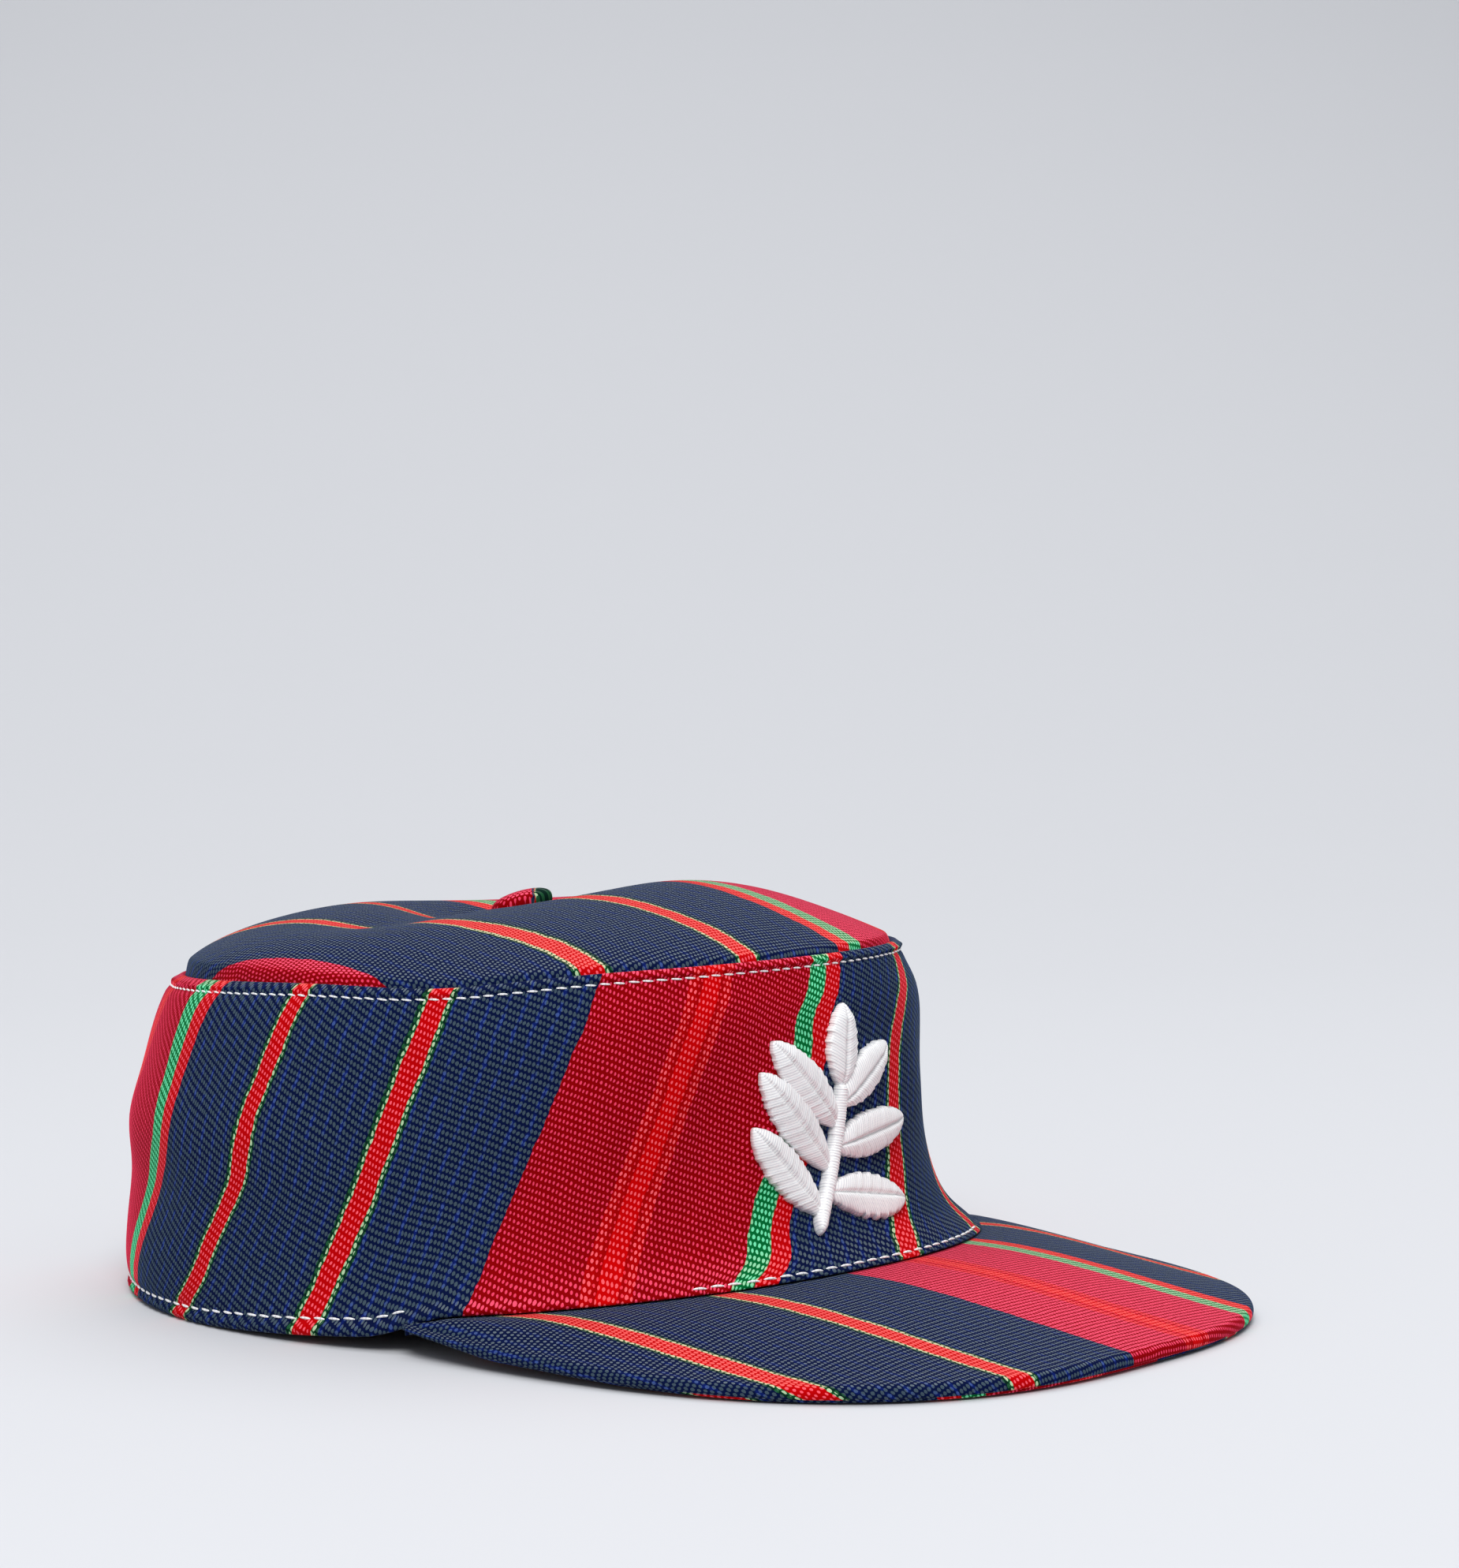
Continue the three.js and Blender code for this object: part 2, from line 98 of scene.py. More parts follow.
# Top panel
TOP_PUFF = 10.5
TOP_EDGE_FRONT = {"power": 3.45, "root": 1.0, "to": -45.0}
TOP_EDGE_BACK = {"power": 5.8, "root": 0.75, "from": 30.0}
TOP_BULGES = (
    {"x": 17.0, "y": -20.0, "wide": 35.0, "lift": 4.0},
    {"x": -10.0, "y": 51.5, "wide": 31.0, "lift": 2.3},
    {"x": -36.0, "y": 13.0, "wide": 14.0, "lift": -2.5},
    {"x": 40.0, "y": -38.0, "wide": 24.0, "lift": 1.3},
)
DIMPLE = {"x": 5.5, "y": 17.0, "wide": 24.0, "deep": 5.5, "flatness": 3}
TOP_TUCK_SHARE = 0.984
TOP_TUCK_WIDE = 0.008
TOP_TUCK_BELOW = 1.0
TOP_SHOULDER_SHARE = 0.75
TOP_SHOULDER_SPREAD = 0.75

# Covered button
BUTTON_AT = np.array([6.5, 14.5])
BUTTON_RADIUS = 7.0
BUTTON_HEIGHT = 6.2
BUTTON_FOOT_RADIUS = 5.2
BUTTON_SHOULDER_SHARE = 0.4
BUTTON_LEAN = math.radians(6.4)
BUTTON_CLEAR = 0.5
BUTTON_RISE = 0.16
BUTTON_FLATNESS = 0.6
BUTTON_FOOT_HOLE = 0.4
BUTTON_TIP = 0.2

# Peak
BAND_STEP_TURN = 2 * math.pi / 82
PEAK_CORNER_TURN = 15 * BAND_STEP_TURN
FOOT_RAMP_TURN = 1.5 * BAND_STEP_TURN
PEAK_LENGTH = 67.0
PEAK_EDGE_POWER = 2.8
PEAK_CORNER_STEP = 0.8
PEAK_UPPER_THICK = 1.6
PEAK_UNDER_THICK = 1.4
PEAK_THICK = PEAK_UPPER_THICK + SEWN_GAP + PEAK_UNDER_THICK
PEAK_CROWN = 1.2
PEAK_CROWN_AT = 1 / 3
PEAK_EDGE_ALONG = (0.0, 0.12, 0.25, 0.42, 0.58, 0.78, 1.0)
PEAK_EDGE_LIFT = (5.6, 4.8, 3.8, PEAK_THICK, 3.4, 3.4, 3.5)
PEAK_ROLL = 1.8
PEAK_ROLL_TO = math.radians(120)
PEAK_UNDER_INSET = 0.4
PEAK_EDGE_ROOM = 0.45
PEAK_SLIM = 0.95
PEAK_CORNER_THIN = 0.35
PEAK_TAPER = 0.08

# Emblem
EMBLEM_HEIGHT = 40.5
LEAF_PAD = 2.4
LEAF_EDGE = 0.9
LEAF_POINT_POWER = 1.4
STEM_WIDTH = 3.0
STEM_END_POWER = 10
STEM_FROM = np.array([-10.0, -22.0])
STEM_TO = np.array([3.0, 7.0])
STEM_BOW = 3.0
LEAVES = (
    {"along": 0.12, "side": -1, "length": 23.0, "wide": 8.5, "lean": 72},
    {"along": 0.26, "side": 1, "length": 25.0, "wide": 9.0, "lean": 66},
    {"along": 0.4, "side": -1, "length": 27.0, "wide": 9.0, "lean": 66},
    {"along": 0.55, "side": 1, "length": 26.0, "wide": 9.0, "lean": 60},
    {"along": 0.7, "side": -1, "length": 25.0, "wide": 9.0, "lean": 56},
    {"along": 0.84, "side": 1, "length": 21.0, "wide": 8.5, "lean": 48},
    {"along": 0.97, "side": 0, "length": 17.0, "wide": 8.5, "lean": 0},
)
LEAF_THREAD = 0.6
LEAF_THREAD_RIDGE = 0.2
LEAF_THREAD_UNEVEN = 0.5
LEAF_RAGGED = 0.07
LEAF_THREAD_SLANT = 0.55
LEAF_VEIN_DEEP = 0.9
LEAF_VEIN_WIDE = 0.1
LEAF_SINK = 0.35
LEAF_RAGGED_POWER = 4
LEAF_FULLNESS = 1.4
LEAF_RIDGE_STEEP = 3
LEAF_EDGE_STEEP = 4
# White of the satin thread, and the painted shade in the grooves between its threads
THREAD_WHITE = (254, 254, 253)
THREAD_GAP_SHADE = (206, 207, 214)

# Topstitching: how high up the wall each row runs, its stitch spacing and the share of it that shows
RIM_STITCH_ON_PEAK = 0.018
RIM_STITCH_HIDDEN = (math.radians(30), math.radians(66))
RIM_STITCH = {"up": 0.047, "pitch": 3.8, "shown": 0.8, "radius": 0.28}
SEAM_STITCH = {"up": 0.967, "pitch": 2.9, "shown": 0.88, "radius": 0.23}
STITCH_SLANT = 0.13
STITCH_PLACE_UNEVEN = 0.05
STITCH_HEIGHT_UNEVEN = 0.05
STITCH_END = 0.02
STITCH_BLUNTNESS = 0.4
STITCH_RISE = 1.5
STITCH_DIP = 0.9
STITCH_LEAST_THICK = 0.3
STITCH_GROOVE = 0.35
STITCH_GROOVE_WIDE = 0.012
HEM_SWELL = 0.45
HEM_SWELL_AT = 0.45
HEM_SWELL_WIDE = 0.35
FOLD_SWELL = 0.4
FOLD_SWELL_WIDE = 0.4
STITCH_PUCKER = 0.45
BACK_SEAM_DEEP = 0.9
BACK_SEAM_WIDE = 1.3

# The cloth: one repeat of its stripes, as the millimetre across at which each begins
CLOTH_REPEAT = 143.0
CLOTH_STRIPES = (
    (0.0, "navy"),
    (4.4, "red"),
    (8.4, "pale_green"),
    (8.9, "green"),
    (12.6, "pale_green"),
    (13.0, "crimson"),
    (32.4, "wide_edge"),
    (34.1, "wide_gap"),
    (35.0, "wide_middle"),
    (38.8, "wide_gap"),
    (39.7, "wide_edge"),
    (41.4, "crimson"),
    (59.5, "navy"),
    (86.4, "fringe"),
    (87.0, "pale"),
    (87.7, "red"),
    (92.3, "pale"),
    (93.0, "fringe"),
    (93.6, "navy"),
    (119.0, "fringe"),
    (119.6, "pale"),
    (120.2, "red"),
    (124.2, "pale"),
    (124.8, "fringe"),
    (125.4, "navy"),
)
THIN_ONE = 90.0
RED_GREEN_LINE = 8.7
# Colours of each yarn's ground and floats, and the height of the woven wave over which a float shows. The
# ground is the yarn seen between the floats together with painted shade of those gaps.
# The columns for cloth that lies level are lighter copies of the same yarns: painted top light and painted
# sheen, standing in for the stronger light from above and for the floats brightening when seen at a glance.
CLOTH_YARNS = {
    "navy": {"ground": (7, 19, 58), "float": (64, 80, 92), "over": 0.0,
             "laid": (99, 110, 119), "laid_over": 0.42, "chain": 1},
    "crimson": {"ground": (140, 0, 4), "float": (236, 64, 98), "over": 0.56,
                "laid": (254, 88, 118), "laid_over": -0.15, "chain": 0},
    "red": {"ground": (188, 0, 4), "float": (255, 92, 108), "over": 0.6,
            "laid": (255, 98, 96), "laid_over": -0.2, "chain": 0},
    "wide_edge": {"ground": (172, 0, 2), "float": (255, 96, 108), "over": 0.32,
                  "laid": (255, 88, 98), "laid_over": -0.2, "chain": 0},
    "wide_gap": {"ground": (162, 0, 2), "float": (240, 58, 78), "over": 0.85,
                 "laid": (246, 72, 92), "laid_over": 0.1, "chain": 0},
    "wide_middle": {"ground": (200, 0, 2), "float": (255, 92, 104), "over": 0.55,
                    "laid": (255, 94, 96), "laid_over": -0.2, "chain": 0},
    "green": {"ground": (0, 104, 48), "float": (112, 232, 174), "over": 0.2,
              "laid": (176, 214, 172), "laid_over": 0.0, "chain": 0},
    "pale_green": {"ground": (20, 110, 60), "float": (140, 215, 160), "over": 0.0,
                   "laid": (200, 215, 175), "laid_over": -0.2, "chain": 0},
    "pale": {"ground": (16, 76, 38), "float": (176, 208, 164), "over": -0.12,
             "laid": (210, 202, 162), "laid_over": -0.4, "chain": 0},
    "fringe": {"ground": (8, 38, 30), "float": (34, 88, 54), "over": 0.0,
               "laid": (62, 82, 74), "laid_over": 0.0, "chain": 0},
}
CHAIN_GROUND = (13, 30, 98)
CHAIN_FLOAT = (60, 82, 142)
CHAIN_WANDER = 0.22
CHAIN_EDGE = (0.14, 0.07)
# How much the chain lines fade on level cloth, as part of the painted top light and sheen
CHAIN_LEVEL_LIT_LESS = -0.5
# The ramp of stripes is cut into parts, so that each keeps its narrow lines
STRIPE_PARTS = 4
# How level the cloth lies, as the upright share of its normal, where it turns from hanging to level and takes
# the painted top light and sheen
LAID_FROM = 0.6
LAID_TO = 0.95

# How the pieces lie on the cloth, in millimetres
WALL_LEAN = 29.6
WALL_TALL = 62.0
WALL_SLOPE = WALL_LEAN / WALL_TALL
WALL_SHEAR = 0.91
WALL_SLIPS = (
    {"turn": math.radians(-93), "wide": math.radians(14), "up": 0.43, "tall": 0.13, "by": 2.2},
    {"turn": math.radians(-104), "wide": math.radians(9), "up": 0.0, "tall": 0.1, "by": -3.5},
    {"turn": math.radians(-112), "wide": math.radians(9), "up": 0.55, "tall": 0.12, "by": 3.2},
    {"turn": math.radians(-112), "wide": math.radians(9), "up": 1.0, "tall": 0.22, "by": -5.0},
    {"turn": math.radians(-3), "wide": math.radians(9), "up": 0.8, "tall": 0.09, "by": -2.4},
    {"turn": math.radians(-6), "wide": math.radians(9), "up": 0.38, "tall": 0.14, "by": 2.4},
    {"turn": math.radians(-19), "wide": math.radians(10), "up": 0.0, "tall": 0.05, "by": -4.0},
    {"turn": math.radians(19), "wide": math.radians(12), "up": 0.24, "tall": 0.2, "by": 6.0},
    {"turn": math.radians(11), "wide": math.radians(8), "up": 0.1, "tall": 0.1, "by": 2.0},
    {"turn": math.radians(17), "wide": math.radians(9), "up": 0.7, "tall": 0.13, "by": -2.0},
    {"turn": math.radians(30), "wide": math.radians(9), "up": 0.92, "tall": 0.11, "by": 4.0},
)
TOP_STRIPE_X = -39.0
TOP_STRIPE_SCALE = 0.97
TOP_STRIPE_TURN = -0.01
TOP_STRIPE_BEND = -0.002
TOP_BEND_FADE = 0.008
PEAK_STRIPE_X = -36.9
PEAK_STRIPE_SCALE = 0.92
PEAK_STRIPE_LEAN = -0.04
UNDER_STRIPE_X = -45.2
BUTTON_STRIPE_WAY = np.array([0.69, -0.72])
BUTTON_RIGHTWARDS = (-8.0, 3.0, 3.1, 3.6, 7.5)
BUTTON_ACROSS = (51.0, 59.4, 92.3, 93.0, 93.55)

# Weave: height of a row, width of a float, strength of the rows, and how many floats lie between chains
WEAVE_ROW = 1.33
WEAVE_FLOAT = 0.86
WEAVE_ROWS_SHOW = 0.6
NAVY_ROWS_MORE = 0.2
WEAVE_SOFT = 0.17
CHAIN_EVERY = 4
CHAIN_PITCH = CHAIN_EVERY * WEAVE_FLOAT
# Noises on the cloth: grains to a millimetre, how fine they go, and how much each one changes
SWAY = {"grain": 0.09, "detail": 2.0, "by": 1.2}
DRIFT = {"grain": 0.14, "detail": 3.0, "by": 1.2}
WAVER = {"grain": 0.6, "detail": 2.0, "by": 0.5}
STIPPLE = {"grain": 1.3, "detail": 1.0, "by": 0.7}
FUZZ = {"grain": 7.0, "detail": 3.0, "by": 0.35}
FADE = {"grain": 0.35, "detail": 5.0, "from": 0.86, "to": 1.14}
CHAIN_BREAKS = {"grain": 0.5, "detail": 4.0, "from": 0.36, "to": 0.58}
FIBRES = {"grain": 2.5, "detail": 3.0}
# Surfaces, by the names of the shader's own sockets
CLOTH_SURFACE = {"Roughness": 0.85, "Specular IOR Level": 0.03, "Sheen Weight": 0.8, "Sheen Roughness": 0.3}
CLOTH_BUMP = {"Strength": 0.5, "Distance": 0.2 * METRES}
THREAD_SURFACE = {"Roughness": 0.28, "Specular IOR Level": 0.7, "Sheen Weight": 0.2}
THREAD_BUMP = {"Strength": 0.3, "Distance": 0.1 * METRES}
# How far the painted groove shade reaches up each thread
THREAD_GAP_SHADE_TO = 0.6
PAPER_SURFACE = {"Base Color": (0.64, 0.65, 0.676, 1), "Roughness": 0.9, "Specular IOR Level": 0.1}

# The photograph's camera, fitted in the same millimetres
CAMERA_AT = np.array([-514.32, -544.481, 134.216])
CAMERA_RIGHT = Vector((0.6878, -0.725616, -0.021973))
CAMERA_UP = Vector((0.0417, 0.009219, 0.999047))
CAMERA_SENSOR = 36.0
CAMERA_LENS = 84.33

HEAD_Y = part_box("peak_upper")[0].y / METRES + RIM_HALF_LENGTH + PEAK_LENGTH
random = np.random.default_rng(SEED)


def signed_power(value, power):
    return np.sign(value) * np.abs(value) ** power


def smoothstep(value, low, high):
    t = np.clip((value - low) / (high - low), 0, 1)
    return t * t * (3 - 2 * t)


def mix(a, b, share):
    return a + (b - a) * share


def bell(distance, wide):
    return np.exp(-((distance / wide) ** 2))


def through(places, values, at):
    """A smooth curve through the values at their places."""
    places = np.asarray(places, float)
    values = np.asarray(values, float)
    last = len(places) - 1
    i = np.clip(np.searchsorted(places, at, side="left") - 1, 0, last - 1)
    low = np.maximum(np.arange(last + 1) - 1, 0)
    high = np.minimum(np.arange(last + 1) + 1, last)
    slope = (values[high] - values[low]) / (places[high] - places[low])
    run = places[i + 1] - places[i]
    t = (at - places[i]) / run
    ends = (1 + 2 * t) * (1 - t) ** 2 * values[i] + t**2 * (3 - 2 * t) * values[i + 1]
    return ends + run * (t * (1 - t) ** 2 * slope[i] + t**2 * (t - 1) * slope[i + 1])


def unit(vectors):
    return vectors / np.maximum(np.linalg.norm(vectors, axis=-1, keepdims=True), LEAST_LENGTH)


def oval(half_width, half_length, turn):
    power = 2 / OVAL_POWER
    x = half_width * signed_power(np.sin(turn), power)
    y = -half_length * signed_power(np.cos(turn), power)
    return np.stack([x, y], -1)


def rim_height(y):
    ahead = (RIM_LIFTS_AHEAD_OF - y) / (RIM_LIFTS_AHEAD_OF + RIM_HALF_LENGTH)
    return RIM_FRONT_LIFT * np.clip(ahead, 0, 1) ** RIM_LIFT_POWER


def seam_plan(turn):
    drawn_in = 1 - SEAM_DRAWN_IN["by"] * bell(turn - SEAM_DRAWN_IN["turn"], SEAM_DRAWN_IN["wide"])
    plan = oval(SEAM_HALF_WIDTH, SEAM_HALF_LENGTH, turn) * drawn_in[..., None]
    return plan + np.array([0, SEAM_SET_BACK])


def seam_height(turn, y):
    sag = SEAM_SAG["drop"] * bell(turn - SEAM_SAG["turn"], SEAM_SAG["wide"])
    return SEAM_HEIGHT - SEAM_TIP * y - sag


def foot_height(turn, y):
    past = smoothstep(np.abs(turn), PEAK_CORNER_TURN - FOOT_RAMP_TURN, PEAK_CORNER_TURN + FOOT_RAMP_TURN)
    return rim_height(y) + (1 - past) * (PEAK_THICK + SEWN_GAP)


def wall_out(turn, up):
    backness = smoothstep(np.abs(turn), FRONT_PROFILE_WITHIN, BACK_PROFILE_BEYOND)
    return mix(through(WALL_UP, WALL_FRONT, up), through(WALL_UP, WALL_BACK, up), backness)


def wall_point(turn, up, depth=0.0):
    """Outer face of the side band, moved inwards by a depth measured level."""
    turn, up = np.broadcast_arrays(np.asarray(turn, float), np.asarray(up, float))
    rim = oval(RIM_HALF_WIDTH, RIM_HALF_LENGTH, turn)
    seam = seam_plan(turn)
    plan = mix(seam, rim, wall_out(turn, up)[..., None])
    z = mix(foot_height(turn, rim[..., 1]), seam_height(turn, seam[..., 1]), up)
    half = np.array([RIM_HALF_WIDTH, RIM_HALF_LENGTH])
    normal = unit(signed_power(plan / half, OVAL_POWER - 1) / half)
    dents = [row["deep"] * bell(turn - row["turn"], row["wide"]) * bell(up - row["up"], row["tall"])
             for row in WALL_DENTS]
    waves = [row["deep"] * np.sin(row["round"] * turn + row["climb"] * up + row["start"])
             for row in WALL_WAVES]
    uneven = sum(waves) * bell(up - WALL_WAVES_UP, WALL_WAVES_TALL)
    plan = plan - normal * (depth + sum(dents) + uneven)[..., None]
    return np.concatenate([plan, z[..., None]], -1)


def top_rise(plan, share):
    backness = smoothstep(plan[..., 1], TOP_EDGE_FRONT["to"], TOP_EDGE_BACK["from"])
    power = mix(TOP_EDGE_FRONT["power"], TOP_EDGE_BACK["power"], backness)
    root = mix(TOP_EDGE_FRONT["root"], TOP_EDGE_BACK["root"], backness)
    puff = np.maximum(1 - share**power, 0) ** root
    bulge = sum(row["lift"] * bell(np.hypot(plan[..., 0] - row["x"], plan[..., 1] - row["y"]), row["wide"])
                for row in TOP_BULGES)
    far = np.hypot(plan[..., 0] - DIMPLE["x"], plan[..., 1] - DIMPLE["y"]) / DIMPLE["wide"]
    return SEWN_GAP + puff * (TOP_PUFF + bulge) - DIMPLE["deep"] * np.exp(-(far ** DIMPLE["flatness"]))


def top_point(turn, share):
    """Upper face of the top panel, whose edge tucks in behind the fold of the side band."""
    turn, share = np.broadcast_arrays(np.asarray(turn, float), np.asarray(share, float))
    plan = mix(np.array([0, SEAM_SET_BACK]), seam_plan(turn), share[..., None])
    level = SEAM_HEIGHT - SEAM_TIP * plan[..., 1]
    base = mix(level, seam_height(turn, plan[..., 1]), share**2)
    rise = top_rise(plan, share)
    tuck = bell(TOP_TUCK_SHARE - share, TOP_TUCK_WIDE) * (rise + TOP_TUCK_BELOW)
    return np.concatenate([plan, (base + rise - tuck)[..., None]], -1)


def peak_edge(side):
    """Outer edge of the peak's upper face: side runs from -1 at the right corner to 1 at the left one."""
    corner = oval(RIM_HALF_WIDTH, RIM_HALF_LENGTH, np.array(PEAK_CORNER_TURN))
    along = 1 - np.abs(side)
    sweep = along * math.pi / 2
    power = 2 / PEAK_EDGE_POWER
    reach = RIM_HALF_LENGTH + PEAK_LENGTH + corner[1]
    x = np.sign(side) * (corner[0] + PEAK_CORNER_STEP) * np.abs(np.cos(sweep)) ** power
    y = corner[1] - reach * np.abs(np.sin(sweep)) ** power
    return np.stack([x, y, through(PEAK_EDGE_ALONG, PEAK_EDGE_LIFT, along)], -1)


def peak_point(side, share):
    """Upper face of the peak at a share of the way from the wall's foot to the edge, highest near the wall."""
    side, share = np.broadcast_arrays(np.asarray(side, float), np.asarray(share, float))
    foot = wall_point(side * PEAK_CORNER_TURN, 0.0) - np.array([0, 0, SEWN_GAP])
    point = mix(foot, peak_edge(side), share[..., None])
    fall = 1 / PEAK_CROWN_AT - 1
    arch = share * (1 - share) ** fall
    point[..., 2] += PEAK_CROWN * arch / (PEAK_CROWN_AT * (1 - PEAK_CROWN_AT) ** fall)
    return point


# Where each place on a piece lies on the cloth

ARC_COUNT = 1441
ARC_TURNS = np.linspace(-math.pi, math.pi, ARC_COUNT)
ARC_STEPS = np.linalg.norm(np.diff(wall_point(ARC_TURNS, 0.5), axis=0), axis=-1)
ARC_LENGTHS = np.concatenate([[0], np.cumsum(ARC_STEPS)])
ARC_LENGTHS -= np.interp(0, ARC_TURNS, ARC_LENGTHS)


def wall_cloth(turn, up):
    turn, up = np.broadcast_arrays(np.asarray(turn, float), np.asarray(up, float))
    arc = np.interp(turn, ARC_TURNS, ARC_LENGTHS)
    slips = sum(row["by"] * bell(turn - row["turn"], row["wide"]) * bell(up - row["up"], row["tall"])
                for row in WALL_SLIPS)
    across = (WALL_LEAN * (up - 0.5) - arc) * WALL_SHEAR + slips
    along = (WALL_TALL * up + WALL_SLOPE * arc) * WALL_SHEAR
    return np.stack([across, along], -1)


def top_cloth(point):
    x, y = point[..., 0], point[..., 1]
    straight = x - TOP_STRIPE_X - TOP_STRIPE_TURN * y
    bend = TOP_STRIPE_BEND * y**2
    off = (straight - bend) / (1 - TOP_BEND_FADE * bend)
    return np.stack([THIN_ONE + off / TOP_STRIPE_SCALE, y], -1)


def peak_cloth(point):
    x, y = point[..., 0], point[..., 1]
    off = (x - PEAK_STRIPE_X - PEAK_STRIPE_LEAN * (y + RIM_HALF_LENGTH)) / PEAK_STRIPE_SCALE
    return np.stack([THIN_ONE - off, y], -1)


def under_cloth(point):
    x, y = point[..., 0], point[..., 1]
    return np.stack([RED_GREEN_LINE + (x - UNDER_STRIPE_X) / PEAK_STRIPE_SCALE, y], -1)


# Meshes

def add_piece(name, points, faces, corners, material, slot, node=None):
    """A smooth mesh in the row frame. Corners hold one cloth place for each corner of each face."""
    mesh = bpy.data.meshes.new(name)
    placed = (points + np.array([0, HEAD_Y, 0])) * METRES
    mesh.from_pydata(placed.tolist(), [], faces)
    layer = mesh.uv_layers.new(name="cloth")
    layer.uv.foreach_set("vector", np.ascontiguousarray(corners, np.float32).ravel())
    mesh.polygons.foreach_set("use_smooth", np.ones(len(faces), bool))
    # Each vertex's share of level cloth, where the cloth's shading lays on the painted top light and sheen
    normals = np.empty(3 * len(points), np.float32)
    mesh.vertex_normals.foreach_get("vector", normals)
    laid = smoothstep(np.abs(normals[2::3]), LAID_FROM, LAID_TO).astype(np.float32)
    mesh.attributes.new("laid", "FLOAT", "POINT").data.foreach_set("value", laid)
    mesh.materials.append(material)
    piece = bpy.data.objects.new(name, mesh)
    bpy.context.scene.collection.objects.link(piece)
    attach(piece, "root")
    if node:
        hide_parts(node)


def grid_mesh(points, cloth, wrap_rows, wrap_columns, caps=False):
    """Vertices, faces and corner places of a grid. A wrapped grid's cloth has one more row or column."""
    rows, columns = points.shape[:2]
    row_spans = rows if wrap_rows else rows - 1
    column_spans = columns if wrap_columns else columns - 1
    r, c = np.meshgrid(np.arange(row_spans), np.arange(column_spans), indexing="ij")
    ring = [(r, c), (r, c + 1), (r + 1, c + 1), (r + 1, c)]
    at = np.stack([(a % rows) * columns + b % columns for a, b in ring], -1).reshape(-1, 4)
    places = np.stack([cloth[a, b] for a, b in ring], -2).reshape(-1, 2)
    faces = at.tolist()
    if caps:
        for column, step in ((0, 1), (columns - 1, -1)):
            order = np.arange(rows)[::step]
            faces.append((order * columns + column).tolist())
            places = np.concatenate([places, cloth[order, column]])
    return points.reshape(-1, 3), faces, places


def ringed(points, cloth):
    """A grid that wraps round, with its first and last rows closed by a face each."""
    rows, columns = points.shape[:2]
    looped = np.concatenate([cloth, cloth[:, :1]], 1)
    vertices, faces, places = grid_mesh(points, looped, False, True)
    for row, step in ((0, -1), (rows - 1, 1)):
        ring = np.arange(columns)[::step]
        faces.append((row * columns + ring).tolist())
        places = np.concatenate([places, cloth[row, ring]])
    return vertices, faces, places


def join(parts):
    """One mesh's vertices, faces and corner places from several."""
    points, faces, places, offset = [], [], [], 0
    for part_points, part_faces, part_places in parts:
        points.append(part_points)
        faces += [[i + offset for i in face] for face in part_faces]
        places.append(part_places)
        offset += len(part_points)
    return np.concatenate(points), faces, np.concatenate(places)


def closed_turns(count):
    return np.linspace(-math.pi, math.pi, count + 1)


# Materials

def linear(colour):
    """Scene-linear colour from eight-bit sRGB."""
    c = np.array(colour) / 255
    return tuple(np.where(c <= 0.04045, c / 12.92, ((c + 0.055) / 1.055) ** 2.4)) + (1.0,)


class Shading:
    """A material and short ways to add nodes to it."""

    def __init__(self, name):
        self.material = bpy.data.materials.new(name)
        self.material.use_nodes = True
        self.tree = self.material.node_tree
        self.shader = self.tree.nodes["Principled BSDF"]

    def node(self, kind, inputs=(), **settings):
        node = self.tree.nodes.new(kind)
        for key, value in settings.items():
            setattr(node, key, value)
        for key, value in dict(inputs).items():
            self.put(node.inputs[key], value)
        return node

    def put(self, socket, value):
        if isinstance(value, bpy.types.NodeSocket):
            self.tree.links.new(value, socket)
        else:
            socket.default_value = value

    def math(self, operation, *values):
        return self.node("ShaderNodeMath", dict(enumerate(values)), operation=operation).outputs[0]

    def blend(self, share, a, b, kind="MIX"):
        """Two colours mixed. The mix node keeps its colours at inputs 6 and 7 and output 2."""
        node = self.node("ShaderNodeMix", data_type="RGBA", blend_type=kind)
        self.put(node.inputs["Factor"], share)
        self.put(node.inputs[6], a)
        self.put(node.inputs[7], b)
        return node.outputs[2]

    def soft(self, value, low, high):
        inputs = {"Value": value, "From Min": low, "From Max": high}
        return self.node("ShaderNodeMapRange", inputs, interpolation_type="SMOOTHSTEP").outputs["Result"]

    def ramp(self, position, stops):
        node = self.node("ShaderNodeValToRGB", {"Fac": position})
        bar = node.color_ramp
        bar.interpolation = "CONSTANT"
        for at, colour in stops[2:]:
            bar.elements.new(at).color = colour
        for element, (at, colour) in zip(bar.elements, stops):
            element.position = at
            element.color = colour
        return node.outputs["Color"]

    def noise(self, vector, row):
        inputs = {"Vector": vector, "Scale": row["grain"], "Detail": row["detail"]}
        return self.node("ShaderNodeTexNoise", inputs).outputs["Fac"]

    def centred_noise(self, vector, row):
        return self.math("SUBTRACT", self.noise(vector, row), 0.5)

    def surface(self, values):
        for name, value in values.items():
            self.shader.inputs[name].default_value = value

    def bump(self, height, values):
        node = self.node("ShaderNodeBump", {"Height": height, **values})
        self.put(self.shader.inputs["Normal"], node.outputs["Normal"])


def stripes_from(begin):
    """The yarns from one place in the repeat on, as shares of a part of the ramp."""
    part = CLOTH_REPEAT / STRIPE_PARTS
    inside = [((at - begin) / part, yarn) for at, yarn in CLOTH_STRIPES if begin < at < begin + part]
    first = [yarn for at, yarn in CLOTH_STRIPES if at <= begin][-1]
    return [(0.0, first)] + inside


